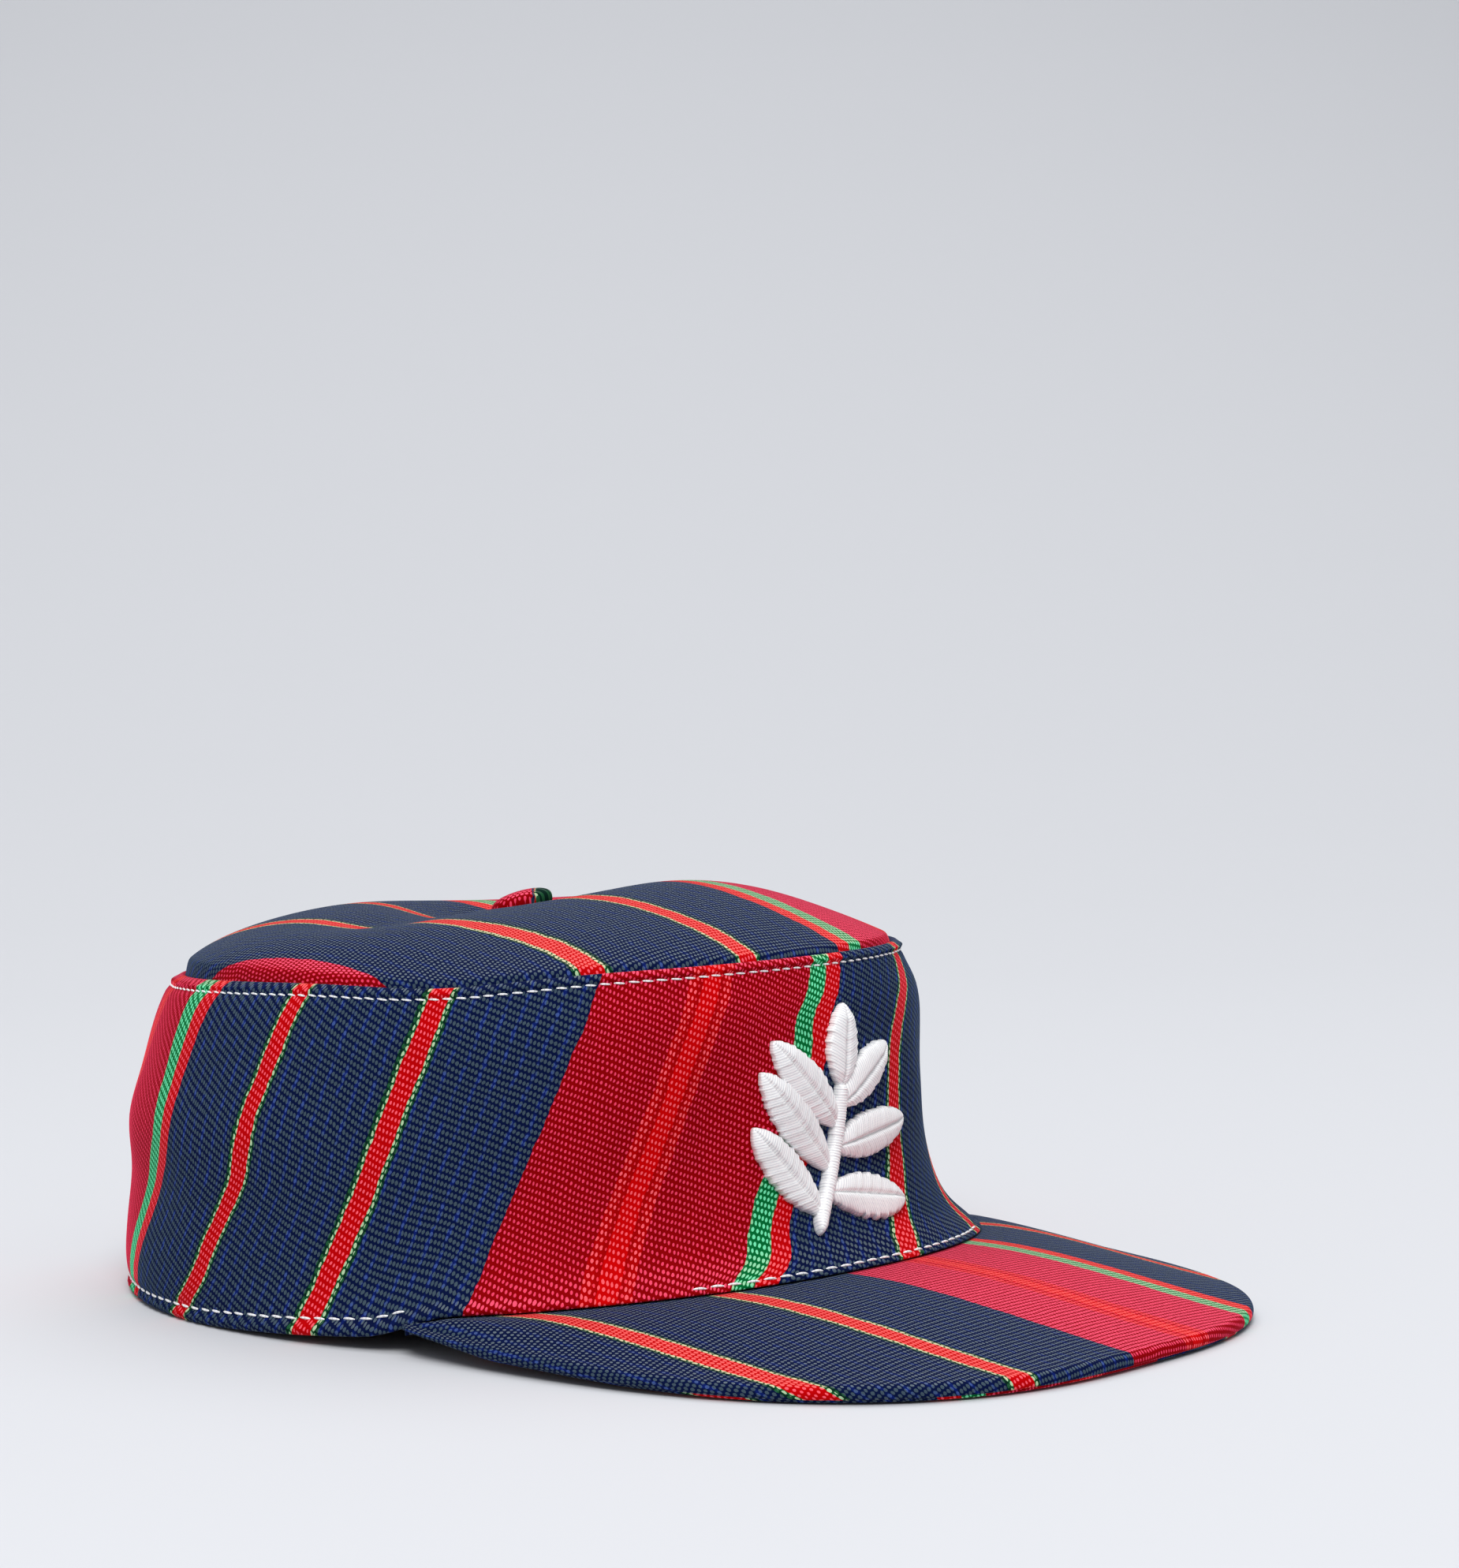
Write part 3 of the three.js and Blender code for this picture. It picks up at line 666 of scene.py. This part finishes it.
def cloth_material():
    shade = Shading("striped_cloth")
    uv = shade.node("ShaderNodeUVMap", uv_map="cloth").outputs["UV"]
    # Share of level cloth, which gets the painted top light and sheen
    laid = shade.node("ShaderNodeAttribute", attribute_name="laid").outputs["Fac"]
    place = shade.node("ShaderNodeSeparateXYZ", {"Vector": uv})
    along = shade.math("MULTIPLY_ADD", shade.centred_noise(uv, SWAY), SWAY["by"], place.outputs["Y"])
    across = shade.math("MULTIPLY_ADD", shade.centred_noise(uv, WAVER), WAVER["by"], place.outputs["X"])
    across = shade.math("MULTIPLY_ADD", shade.centred_noise(uv, DRIFT), DRIFT["by"], across)
    repeat = shade.math("FRACT", shade.math("DIVIDE", across, CLOTH_REPEAT))

    def stripes(column):
        colour = None
        for part in range(STRIPE_PARTS):
            stops = stripes_from(part * CLOTH_REPEAT / STRIPE_PARTS)
            position = shade.math("MULTIPLY_ADD", repeat, STRIPE_PARTS, -part)
            ramp = shade.ramp(position, [(at, column(CLOTH_YARNS[yarn])) for at, yarn in stops])
            reached = shade.math("GREATER_THAN", position, 0.0)
            colour = ramp if colour is None else shade.blend(reached, colour, ramp)
        return colour

    def raised(over):
        """The ramp keeps no values below 0, so a height from -1 to 1 is stored as 0 to 1."""
        return (over + 1) / 2

    # Ground: the yarn between the floats, with painted shade of the gaps
    ground = stripes(lambda yarn: linear(yarn["ground"]))
    hanging_floats = stripes(lambda yarn: linear(yarn["float"]))
    # Lighter floats on level cloth: painted top light and painted sheen
    level_lit_floats = stripes(lambda yarn: linear(yarn["laid"]))
    floats = shade.blend(laid, hanging_floats, level_lit_floats)
    shape = stripes(lambda yarn: (raised(yarn["over"]), raised(yarn["laid_over"]), yarn["chain"], 1))
    shape = shade.node("ShaderNodeSeparateColor", {"Color": shape})
    # The woven wave takes its level-cloth height there, as part of the same painted top light and sheen
    closing = shade.math("SUBTRACT", shape.outputs["Green"], shape.outputs["Red"])
    over = shade.math("MULTIPLY_ADD", closing, laid, shape.outputs["Red"])
    over = shade.math("MULTIPLY_ADD", over, 2.0, -1.0)

    columns = shade.math("COSINE", shade.math("MULTIPLY", across, 2 * math.pi / WEAVE_FLOAT))
    half_row = shade.math("MULTIPLY", along, math.pi / WEAVE_ROW)
    rows = shade.math("COSINE", shade.math("MULTIPLY", half_row, 2.0))
    bricks = shade.math("MULTIPLY", columns, shade.math("COSINE", half_row))
    ribs = shade.math("MULTIPLY_ADD", shape.outputs["Blue"], NAVY_ROWS_MORE, WEAVE_ROWS_SHOW)
    wave = shade.math("MULTIPLY_ADD", rows, ribs, bricks)
    stipple = shade.centred_noise(uv, STIPPLE)
    wave = shade.math("MULTIPLY_ADD", stipple, STIPPLE["by"], wave)
    above = shade.math("SUBTRACT", wave, over)
    float_share = shade.soft(above, -WEAVE_SOFT, WEAVE_SOFT)

    chain_place = shade.math("FRACT", shade.math("MULTIPLY_ADD", across, 1 / CHAIN_PITCH, 0.5))
    chain_off = shade.math("SUBTRACT", chain_place, 0.5)
    chain_off = shade.math("ABSOLUTE", shade.math("MULTIPLY_ADD", stipple, CHAIN_WANDER, chain_off))
    chain = shade.math("MULTIPLY", shade.soft(chain_off, *CHAIN_EDGE), shape.outputs["Blue"])
    # Chain lines fade on level cloth, as part of the painted top light and sheen
    chain = shade.math("MULTIPLY", chain, shade.math("MULTIPLY_ADD", laid, CHAIN_LEVEL_LIT_LESS, 1.0))
    breaks = shade.soft(shade.noise(uv, CHAIN_BREAKS), CHAIN_BREAKS["from"], CHAIN_BREAKS["to"])
    chain = shade.math("MULTIPLY", chain, breaks)
    ground = shade.blend(chain, ground, linear(CHAIN_GROUND))
    floats = shade.blend(chain, floats, linear(CHAIN_FLOAT))
    colour = shade.blend(float_share, ground, floats)
    fading = {"Value": shade.noise(uv, FADE), "To Min": FADE["from"], "To Max": FADE["to"]}
    fade = shade.node("ShaderNodeMapRange", fading).outputs["Result"]
    colour = shade.blend(1.0, colour, fade, "MULTIPLY")
    shade.put(shade.shader.inputs["Base Color"], colour)

    fuzz = shade.math("MULTIPLY", shade.noise(uv, FUZZ), FUZZ["by"])
    shade.bump(shade.math("ADD", float_share, fuzz), CLOTH_BUMP)
    shade.surface(CLOTH_SURFACE)
    shade.put(shade.shader.inputs["Sheen Tint"], floats)
    return shade.material


def thread_material():
    shade = Shading("white_thread")
    uv = shade.node("ShaderNodeUVMap", uv_map="cloth").outputs["UV"]
    place = shade.node("ShaderNodeSeparateXYZ", {"Vector": uv})
    # Painted shade in the grooves between threads, over the white of each thread
    across_thread = shade.math("MULTIPLY", place.outputs["X"], math.pi)
    body = shade.math("ABSOLUTE", shade.math("COSINE", across_thread))
    colour = shade.blend(shade.soft(body, 0.0, THREAD_GAP_SHADE_TO), linear(THREAD_GAP_SHADE), linear(THREAD_WHITE))
    shade.put(shade.shader.inputs["Base Color"], colour)
    shade.bump(shade.noise(uv, FIBRES), THREAD_BUMP)
    shade.surface(THREAD_SURFACE)
    return shade.material


CLOTH = cloth_material()
THREAD = thread_material()


# Side band: a wall whose hem and top fold are round, with a groove under each row of stitches
BAND_COLUMNS = 800
BAND_CAP_ROWS = 7
BAND_INNER_ROWS = 16
BAND_EDGE_ROWS = 22
BAND_MIDDLE_ROWS = 34
BAND_HEM_TO = 0.13
BAND_FOLD_FROM = 0.92


def rim_stitch_up(turn):
    """Height of the hem's stitches up the wall: they run lower along the peak."""
    return mix(RIM_STITCH_ON_PEAK, RIM_STITCH["up"], smoothstep(np.abs(turn), *RIM_STITCH_HIDDEN))


def seam_stitch_up(turn):
    return np.full_like(turn, SEAM_STITCH["up"])


def wall_swell(turn, up):
    """How far the cloth stands out between its stitch rows and its folded edges."""
    rim = rim_stitch_up(turn)
    arc = np.interp(turn, ARC_TURNS, ARC_LENGTHS)
    hem_pucker = 1 + STITCH_PUCKER * np.cos(2 * math.pi * arc / RIM_STITCH["pitch"])
    fold_pucker = 1 + STITCH_PUCKER * np.cos(2 * math.pi * arc / SEAM_STITCH["pitch"])
    hem = HEM_SWELL * hem_pucker * bell(up - rim * HEM_SWELL_AT, rim * HEM_SWELL_WIDE)
    fold_middle = mix(SEAM_STITCH["up"], 1, 0.5)
    fold = FOLD_SWELL * fold_pucker * bell(up - fold_middle, (1 - SEAM_STITCH["up"]) * FOLD_SWELL_WIDE)
    grooves = bell(up - rim, STITCH_GROOVE_WIDE) + bell(up - SEAM_STITCH["up"], STITCH_GROOVE_WIDE)
    from_back = np.minimum(arc - ARC_LENGTHS[0], ARC_LENGTHS[-1] - arc)
    back_seam = BACK_SEAM_DEEP * bell(from_back, BACK_SEAM_WIDE)
    return hem + fold - STITCH_GROOVE * grooves - back_seam


def side_band():
    turns = closed_turns(BAND_COLUMNS)
    radius = BAND_THICK / 2
    edge = radius / WALL_TALL
    arc = np.linspace(0, math.pi, BAND_CAP_ROWS)
    outer = np.unique(np.concatenate([
        np.linspace(edge, BAND_HEM_TO, BAND_EDGE_ROWS),
        np.linspace(BAND_HEM_TO, BAND_FOLD_FROM, BAND_MIDDLE_ROWS),
        np.linspace(BAND_FOLD_FROM, 1 - edge, BAND_EDGE_ROWS)]))
    fold = 1 - edge * (1 - np.sin(arc))
    inner = np.linspace(1 - edge, edge, BAND_INNER_ROWS)
    hem = edge * (1 - np.sin(arc))
    ups = np.concatenate([outer, fold[1:-1], inner, hem[1:-1]])
    caps = np.concatenate([
        radius * (1 - np.cos(arc[1:-1])),
        np.full(BAND_INNER_ROWS, BAND_THICK),
        radius * (1 + np.cos(arc[1:-1]))])
    swell = wall_swell(turns[None, :-1], outer[:, None])
    depths = np.concatenate([-swell, np.broadcast_to(caps[:, None], (len(caps), BAND_COLUMNS))])
    points = wall_point(turns[None, :-1], ups[:, None], depths)
    cloth = wall_cloth(turns[None, :], np.append(ups, ups[0])[:, None])
    return grid_mesh(points, cloth, True, True)


# Top panel and button
TOP_COLUMNS = 420
# Spans of rows, each from one share of the way out to another, and how many rows
TOP_ROWS = ((TOP_TUCK_SHARE, 0.9, 24), (0.9, 0.6, 22), (0.6, 0.02, 30))
BUTTON_COLUMNS = 72
BUTTON_ROWS = 14


def spread_shoulder(rows, shares):
    """Plan of the top panel's rows with its shoulder laid out flat, so the weave keeps its size there."""
    steps = np.diff(rows[::-1], axis=0)
    extra = np.linalg.norm(steps, axis=-1) - np.linalg.norm(steps[..., :2], axis=-1)
    extra *= TOP_SHOULDER_SPREAD * (shares[::-1][1:] > TOP_SHOULDER_SHARE)[:, None]
    extra = np.concatenate([np.zeros_like(extra[:1]), np.cumsum(extra, 0)])[::-1]
    plan = rows[..., :2]
    return plan + unit(plan - np.array([0, SEAM_SET_BACK])) * extra[..., None]


def top_panel():
    turns = closed_turns(TOP_COLUMNS)
    shares = np.concatenate([TOP_ROWS[0][:1]] + [np.linspace(*row)[1:] for row in TOP_ROWS])
    upper = top_point(turns[None, :-1], shares[:, None])
    lower = upper - np.array([0, 0, TOP_THICK])
    points = np.concatenate([lower[::-1], upper])
    cloth = top_cloth(spread_shoulder(upper, shares))
    return ringed(points, np.concatenate([cloth[::-1], cloth]))


def button():
    turns = closed_turns(BUTTON_COLUMNS)
    shoulder = BUTTON_SHOULDER_SHARE * BUTTON_HEIGHT
    arc = np.linspace(0, math.pi / 2, BUTTON_ROWS)
    foot = [BUTTON_FOOT_HOLE, BUTTON_FOOT_RADIUS]
    radii = np.concatenate([foot, BUTTON_RADIUS * np.cos(arc[:-1]), [BUTTON_TIP]])
    dome = (BUTTON_HEIGHT - shoulder) * np.sin(arc) ** BUTTON_FLATNESS
    heights = np.concatenate([np.zeros(len(foot)), shoulder + dome])
    x = radii[:, None] * np.cos(turns[None, :-1])
    y = radii[:, None] * np.sin(turns[None, :-1])
    rightwards = np.stack([x, y], -1) @ BUTTON_STRIPE_WAY
    z = heights[:, None] + BUTTON_RISE * rightwards
    lean_y = y * math.cos(BUTTON_LEAN) + z * math.sin(BUTTON_LEAN)
    lean_z = z * math.cos(BUTTON_LEAN) - y * math.sin(BUTTON_LEAN)
    floor = SEAM_HEIGHT - SEAM_TIP * BUTTON_AT[1] + top_rise(BUTTON_AT, 0.0) + BUTTON_CLEAR
    points = np.stack([x + BUTTON_AT[0], lean_y + BUTTON_AT[1], lean_z + floor], -1)
    across = np.interp(rightwards, BUTTON_RIGHTWARDS, BUTTON_ACROSS)
    return ringed(points, np.stack([across, x + y], -1))


# Peak: the upper cloth rolls over the edge, and the under cloth lies inside the roll
PEAK_COLUMNS = 360
PEAK_TOP_ROWS = 70
PEAK_ROLL_ROWS = 12
PEAK_REVERSE_ROWS = 16
PEAK_REVERSE_TO = 0.985
PEAK_UNDER_ROWS = 24
PEAK_UNDER_ROLL_ROWS = 9


def peak_sides():
    return np.linspace(-1, 1, PEAK_COLUMNS)


def edge_outward(sides):
    """Level direction out of the peak's edge at each side."""
    tangent = np.gradient(peak_edge(sides)[:, :2], axis=0)
    outward = unit(np.stack([tangent[:, 1], -tangent[:, 0]], -1))
    return np.concatenate([outward, np.zeros((len(sides), 1))], -1)


def thickness(sides):
    """Share of the peak's full thickness at each side: it lies pressed, and thins out into the corners."""
    return mix(PEAK_CORNER_THIN, PEAK_SLIM, smoothstep(1 - np.abs(sides), 0, PEAK_TAPER))


def peak_rows(sides, shares, depth):
    """Rows of the peak at a depth below its upper face, from under the wall out to each share."""
    tucked = wall_point(sides * PEAK_CORNER_TURN, 0.0, BAND_THICK)
    tucked[:, 2] = peak_point(sides, 0.0)[:, 2]
    rows = np.stack([tucked] + [peak_point(sides, share) for share in shares])
    rows[..., 2] -= depth * thickness(sides)
    return rows


def rolled(edge, outward, radius, angles, sides):
    """Rows that roll down and under from an edge, and the same rows laid out flat."""
    down = np.array([0, 0, -1.0])
    thin = thickness(sides)[:, None]
    out = outward * radius[:, None]
    drop = np.max(radius) * thin * down
    rows = [edge + np.sin(angle) * out + (1 - np.cos(angle)) * drop for angle in angles]
    flat = [edge + outward * (radius * angle)[:, None] for angle in angles]
    return np.stack(rows), np.stack(flat)


def inset_share(sides, inset):
    """Share of the way out that lies an inset short of the edge, limited where the peak is narrow."""
    width = np.linalg.norm(peak_edge(sides)[:, :2] - peak_point(sides, 0.0)[:, :2], axis=-1)
    room = np.minimum(inset, PEAK_EDGE_ROOM * width)
    return 1 - room / width, room


def peak_upper():
    sides = peak_sides()
    stop, room = inset_share(sides, PEAK_ROLL)
    shares = [stop * s for s in np.linspace(0, 1, PEAK_TOP_ROWS)]
    top = peak_rows(sides, shares, 0.0)
    angles = np.linspace(0, PEAK_ROLL_TO, PEAK_ROLL_ROWS)[1:]
    roll, flat = rolled(top[-1], edge_outward(sides), room, angles, sides)
    reverse = [stop * s for s in np.linspace(0, PEAK_REVERSE_TO, PEAK_REVERSE_ROWS)]
    under = peak_rows(sides, reverse, PEAK_UPPER_THICK)[::-1]
    points = np.concatenate([top, roll, under])
    cloth = peak_cloth(np.concatenate([top, flat, under, top[:1]]))
    return grid_mesh(points, cloth, True, False, caps=True)


def peak_under():
    sides = peak_sides()
    radius = PEAK_UNDER_THICK / 2
    stop, room = inset_share(sides, PEAK_UNDER_INSET + radius)
    shares = [stop * s for s in np.linspace(0, 1, PEAK_UNDER_ROWS)]
    top = peak_rows(sides, shares, PEAK_UPPER_THICK + SEWN_GAP)
    angles = np.linspace(0, math.pi, PEAK_UNDER_ROLL_ROWS)[1:-1]
    roll, flat = rolled(top[-1], edge_outward(sides), np.minimum(room, radius), angles, sides)
    bottom = peak_rows(sides, shares, PEAK_THICK)[::-1]
    points = np.concatenate([top, roll, bottom])
    cloth = under_cloth(np.concatenate([top, flat, bottom, top[:1]]))
    return grid_mesh(points, cloth, True, False, caps=True)


# Emblem: satin-stitched leaves on a stem
LEAF_COLUMNS = 27
LEAF_ROWS_PER_THREAD = 4


def front_point(flat, out):
    """A point on the front of the band: across and up from the emblem's middle, and out from the cloth."""
    across, up = flat[..., 0], flat[..., 1]
    foot = foot_height(0.0, -RIM_HALF_LENGTH)
    share = (EMBLEM_HEIGHT + up - foot) / (seam_height(0.0, SEAM_SET_BACK - SEAM_HALF_LENGTH) - foot)
    half_width = mix(SEAM_HALF_WIDTH, RIM_HALF_WIDTH, wall_out(np.zeros_like(share), share))
    x = half_width * np.sin(across / half_width)
    turn = np.arcsin(signed_power(x / half_width, OVAL_POWER / 2))
    at = wall_point(turn, share)
    normal = unit(np.cross(wall_point(turn + NUDGE, share) - at, wall_point(turn, share + NUDGE) - at))
    return at + normal * np.asarray(out)[..., None]


def stem_point(along):
    along = np.asarray(along, float)
    straight = mix(STEM_FROM, STEM_TO, along[..., None])
    return straight + np.stack([STEM_BOW * np.sin(math.pi * along), np.zeros_like(along)], -1)


def stem_heading(along):
    return unit(stem_point(np.asarray(along) + NUDGE) - stem_point(np.asarray(along) - NUDGE))


def satin(flat_at, half, length, pad, vein):
    """A padded strip of satin stitch: rows along its length, columns across it."""
    rows = int(length / LEAF_THREAD * LEAF_ROWS_PER_THREAD)
    along = np.linspace(0.0, 1.0, rows)[:, None]
    across = np.sin(np.linspace(-math.pi / 2, math.pi / 2, LEAF_COLUMNS))[None, :]
    wide = half(along)
    slant = (length * along - LEAF_THREAD_SLANT * np.abs(across) * wide * vein) / LEAF_THREAD
    thread = np.floor(slant - slant.min() + 0.5).astype(int)
    uneven = random.uniform(-1, 1, thread.max() + 1)[thread]
    ragged = LEAF_RAGGED * uneven * across**LEAF_RAGGED_POWER
    flat = flat_at(along, across * wide * (1 + ragged))
    fullness = np.minimum(wide / np.max(wide) * LEAF_FULLNESS, 1)
    dome = np.sqrt(np.maximum(1 - across**2, 0))
    groove = vein * bell(across, LEAF_VEIN_WIDE)
    ridge = LEAF_THREAD_RIDGE * np.abs(np.cos(math.pi * slant)) * (1 + LEAF_THREAD_UNEVEN * uneven)
    padding = fullness * dome * (pad - LEAF_EDGE - groove + ridge * np.minimum(dome * LEAF_RIDGE_STEEP, 1))
    out = padding + LEAF_EDGE * np.minimum(dome * LEAF_EDGE_STEEP, 1) - LEAF_SINK * (dome <= 0)
    points = front_point(flat, out)
    cloth = np.stack(np.broadcast_arrays(slant, across * wide), -1)
    vertices, faces, places = grid_mesh(points, cloth, False, False)
    columns = points.shape[1]
    left = np.arange(rows) * columns
    outline = np.concatenate([left, left[::-1] + columns - 1])
    faces.append(outline.tolist())
    flat_places = cloth.reshape(-1, 2)[outline]
    return vertices, faces, np.concatenate([places, flat_places])


def leaf(row):
    lean = math.radians(-row["side"] * row["lean"])
    heading = stem_heading(row["along"])
    spin = np.array([[math.cos(lean), -math.sin(lean)], [math.sin(lean), math.cos(lean)]])
    heading = spin @ heading
    across = np.array([heading[1], -heading[0]])
    root = stem_point(row["along"])

    def flat_at(along, offset):
        return root + heading * (row["length"] * along)[..., None] + across * offset[..., None]

    def half(along):
        return row["wide"] / 2 * (2 * np.sqrt(along * (1 - along))) ** LEAF_POINT_POWER

    return satin(flat_at, half, row["length"], LEAF_PAD, LEAF_VEIN_DEEP)


def stem():
    length = float(np.linalg.norm(STEM_TO - STEM_FROM))

    def flat_at(along, offset):
        heading = stem_heading(along)
        across = np.stack([heading[..., 1], -heading[..., 0]], -1)
        return stem_point(along) + across * offset[..., None]

    def half(along):
        return STEM_WIDTH / 2 * np.sqrt(1 - np.abs(2 * along - 1) ** STEM_END_POWER)

    return satin(flat_at, half, length, LEAF_PAD, 0.0)


# Topstitching
STITCH_LINE_COUNT = 2881
STITCH_STEPS = 9
STITCH_SIDES = 8


def stitch_row(row, height, hidden=(0, 0)):
    """Stitches round the band, each a tapered round thread that dips in at both ends."""
    turns = np.linspace(-math.pi, math.pi, STITCH_LINE_COUNT)
    line = wall_point(turns, height(turns), STITCH_GROOVE)
    run = np.concatenate([[0], np.cumsum(np.linalg.norm(np.diff(line, axis=0), axis=-1))])
    count = int(run[-1] / row["pitch"])
    steps = np.linspace(0, 1, STITCH_STEPS)
    around = np.linspace(0, 2 * math.pi, STITCH_SIDES + 1)
    turned = around[:-1, None, None]
    parts = []
    for k in range(count):
        start = (k + random.uniform(-STITCH_PLACE_UNEVEN, STITCH_PLACE_UNEVEN)) * row["pitch"]
        places = start + steps * row["pitch"] * row["shown"]
        turn = np.interp(places, run, turns)
        if hidden[0] < abs(turn[0]) < hidden[1]:
            continue
        up = height(turn)
        centre = wall_point(turn, up, STITCH_GROOVE)
        ahead = unit(np.gradient(centre, axis=0))
        rising = unit(wall_point(turn, up + NUDGE) - wall_point(turn, up - NUDGE))
        outward = unit(np.cross(ahead, rising))
        body = np.sin(math.pi * np.clip(steps, STITCH_END, 1 - STITCH_END)) ** STITCH_BLUNTNESS
        lift = row["radius"] * (STITCH_RISE * body - STITCH_DIP)
        slant = STITCH_SLANT * (1 - 2 * steps) + random.uniform(-STITCH_HEIGHT_UNEVEN, STITCH_HEIGHT_UNEVEN)
        centre = centre + outward * lift[:, None] + rising * slant[:, None]
        thick = row["radius"] * np.maximum(body, STITCH_LEAST_THICK)
        circle = np.cos(turned) * outward + np.sin(turned) * rising
        points = (centre + circle * thick[:, None]).transpose(1, 0, 2)
        cloth = np.stack(np.broadcast_arrays(places[:, None], around[None, :]), -1)
        parts.append(grid_mesh(points, cloth, False, True))
    return join(parts)


RIM_STITCHES = stitch_row(RIM_STITCH, rim_stitch_up, RIM_STITCH_HIDDEN)
SEAM_STITCHES = stitch_row(SEAM_STITCH, seam_stitch_up)
SPRIG = join([stem()] + [leaf(row) for row in LEAVES])
add_piece("side_band_cloth", *side_band(), CLOTH, "band_cloth", "side_band")
add_piece("top_panel_cloth", *top_panel(), CLOTH, "top_cloth", "top_panel")
add_piece("covered_button", *button(), CLOTH, "button_cloth", "top_button")
add_piece("peak_upper_cloth", *peak_upper(), CLOTH, "peak_cloth", "peak_upper")
add_piece("peak_under_cloth", *peak_under(), CLOTH, "peak_under_cloth", "peak_under")
add_piece("satin_sprig", *SPRIG, THREAD, "emblem_thread", "front_emblem")
add_piece("topstitching", *join([RIM_STITCHES, SEAM_STITCHES]), THREAD, "emblem_thread")


# Stage, in metres: a pale sweep, a broad light overhead, a smaller one in front and an even surround
SWEEP_HALF_WIDTH = 3.0
SWEEP_FRONT = -2.5
SWEEP_TURN_AT = 0.7
SWEEP_RADIUS = 3.6
SWEEP_TOP = 4.5
SWEEP_ROWS = 24
LIGHTS = (
    {"name": "ceiling", "at": (0.7, 0.7, 2.7), "aim": (0.3, 0.3, 0), "size": 3.8, "watts": 57},
    {"name": "front_fill", "at": (-1.15, -1.05, 1.9), "aim": (0, 0, 0.04), "size": 1.3, "watts": 36},
)
SURROUND = {"Color": (0.93, 0.95, 1.0, 1), "Strength": 0.4}


def sweep():
    arc = np.linspace(0, math.pi / 2, SWEEP_ROWS)
    curve = SWEEP_TURN_AT + SWEEP_RADIUS * np.sin(arc)
    reach = np.concatenate([[SWEEP_FRONT], curve, [SWEEP_TURN_AT + SWEEP_RADIUS]])
    height = np.concatenate([[0], SWEEP_RADIUS * (1 - np.cos(arc)), [SWEEP_TOP]])
    points = [(side * SWEEP_HALF_WIDTH, y, z) for y, z in zip(reach, height) for side in (-1, 1)]
    faces = [(2 * i, 2 * i + 1, 2 * i + 3, 2 * i + 2) for i in range(len(reach) - 1)]
    mesh = bpy.data.meshes.new("sweep")
    mesh.from_pydata(points, [], faces)
    mesh.polygons.foreach_set("use_smooth", np.ones(len(faces), bool))
    shade = Shading("pale_paper")
    shade.surface(PAPER_SURFACE)
    mesh.materials.append(shade.material)
    floor = bpy.data.objects.new("sweep", mesh)
    floor.rotation_euler.z = math.atan2(CAMERA_AT[0], -CAMERA_AT[1])
    bpy.context.scene.collection.objects.link(floor)


def area_light(name, at, aim, size, watts):
    light = bpy.data.lights.new(name, "AREA")
    light.shape = "DISK"
    light.size = size
    light.energy = watts
    lamp = bpy.data.objects.new(name, light)
    lamp.location = at
    lamp.rotation_euler = (Vector(aim) - Vector(at)).to_track_quat("-Z", "Y").to_euler()
    bpy.context.scene.collection.objects.link(lamp)


def surround():
    world = bpy.data.worlds.new("surround")
    world.use_nodes = True
    for name, value in SURROUND.items():
        world.node_tree.nodes["Background"].inputs[name].default_value = value
    bpy.context.scene.world = world


def camera():
    data = bpy.data.cameras.new("camera")
    data.sensor_fit = "HORIZONTAL"
    data.sensor_width = CAMERA_SENSOR
    data.lens = CAMERA_LENS
    right = CAMERA_RIGHT.normalized()
    back = right.cross(CAMERA_UP).normalized()
    up = back.cross(right)
    eye = bpy.data.objects.new("camera", data)
    turned = Matrix((right, up, back)).transposed().to_4x4()
    turned.translation = Vector((CAMERA_AT + np.array([0, HEAD_Y, 0])) * METRES)
    eye.matrix_world = turned
    bpy.context.scene.collection.objects.link(eye)
    bpy.context.scene.camera = eye


sweep()
for light_row in LIGHTS:
    area_light(**light_row)
surround()
camera()
bpy.context.scene.view_settings.view_transform = "Standard"
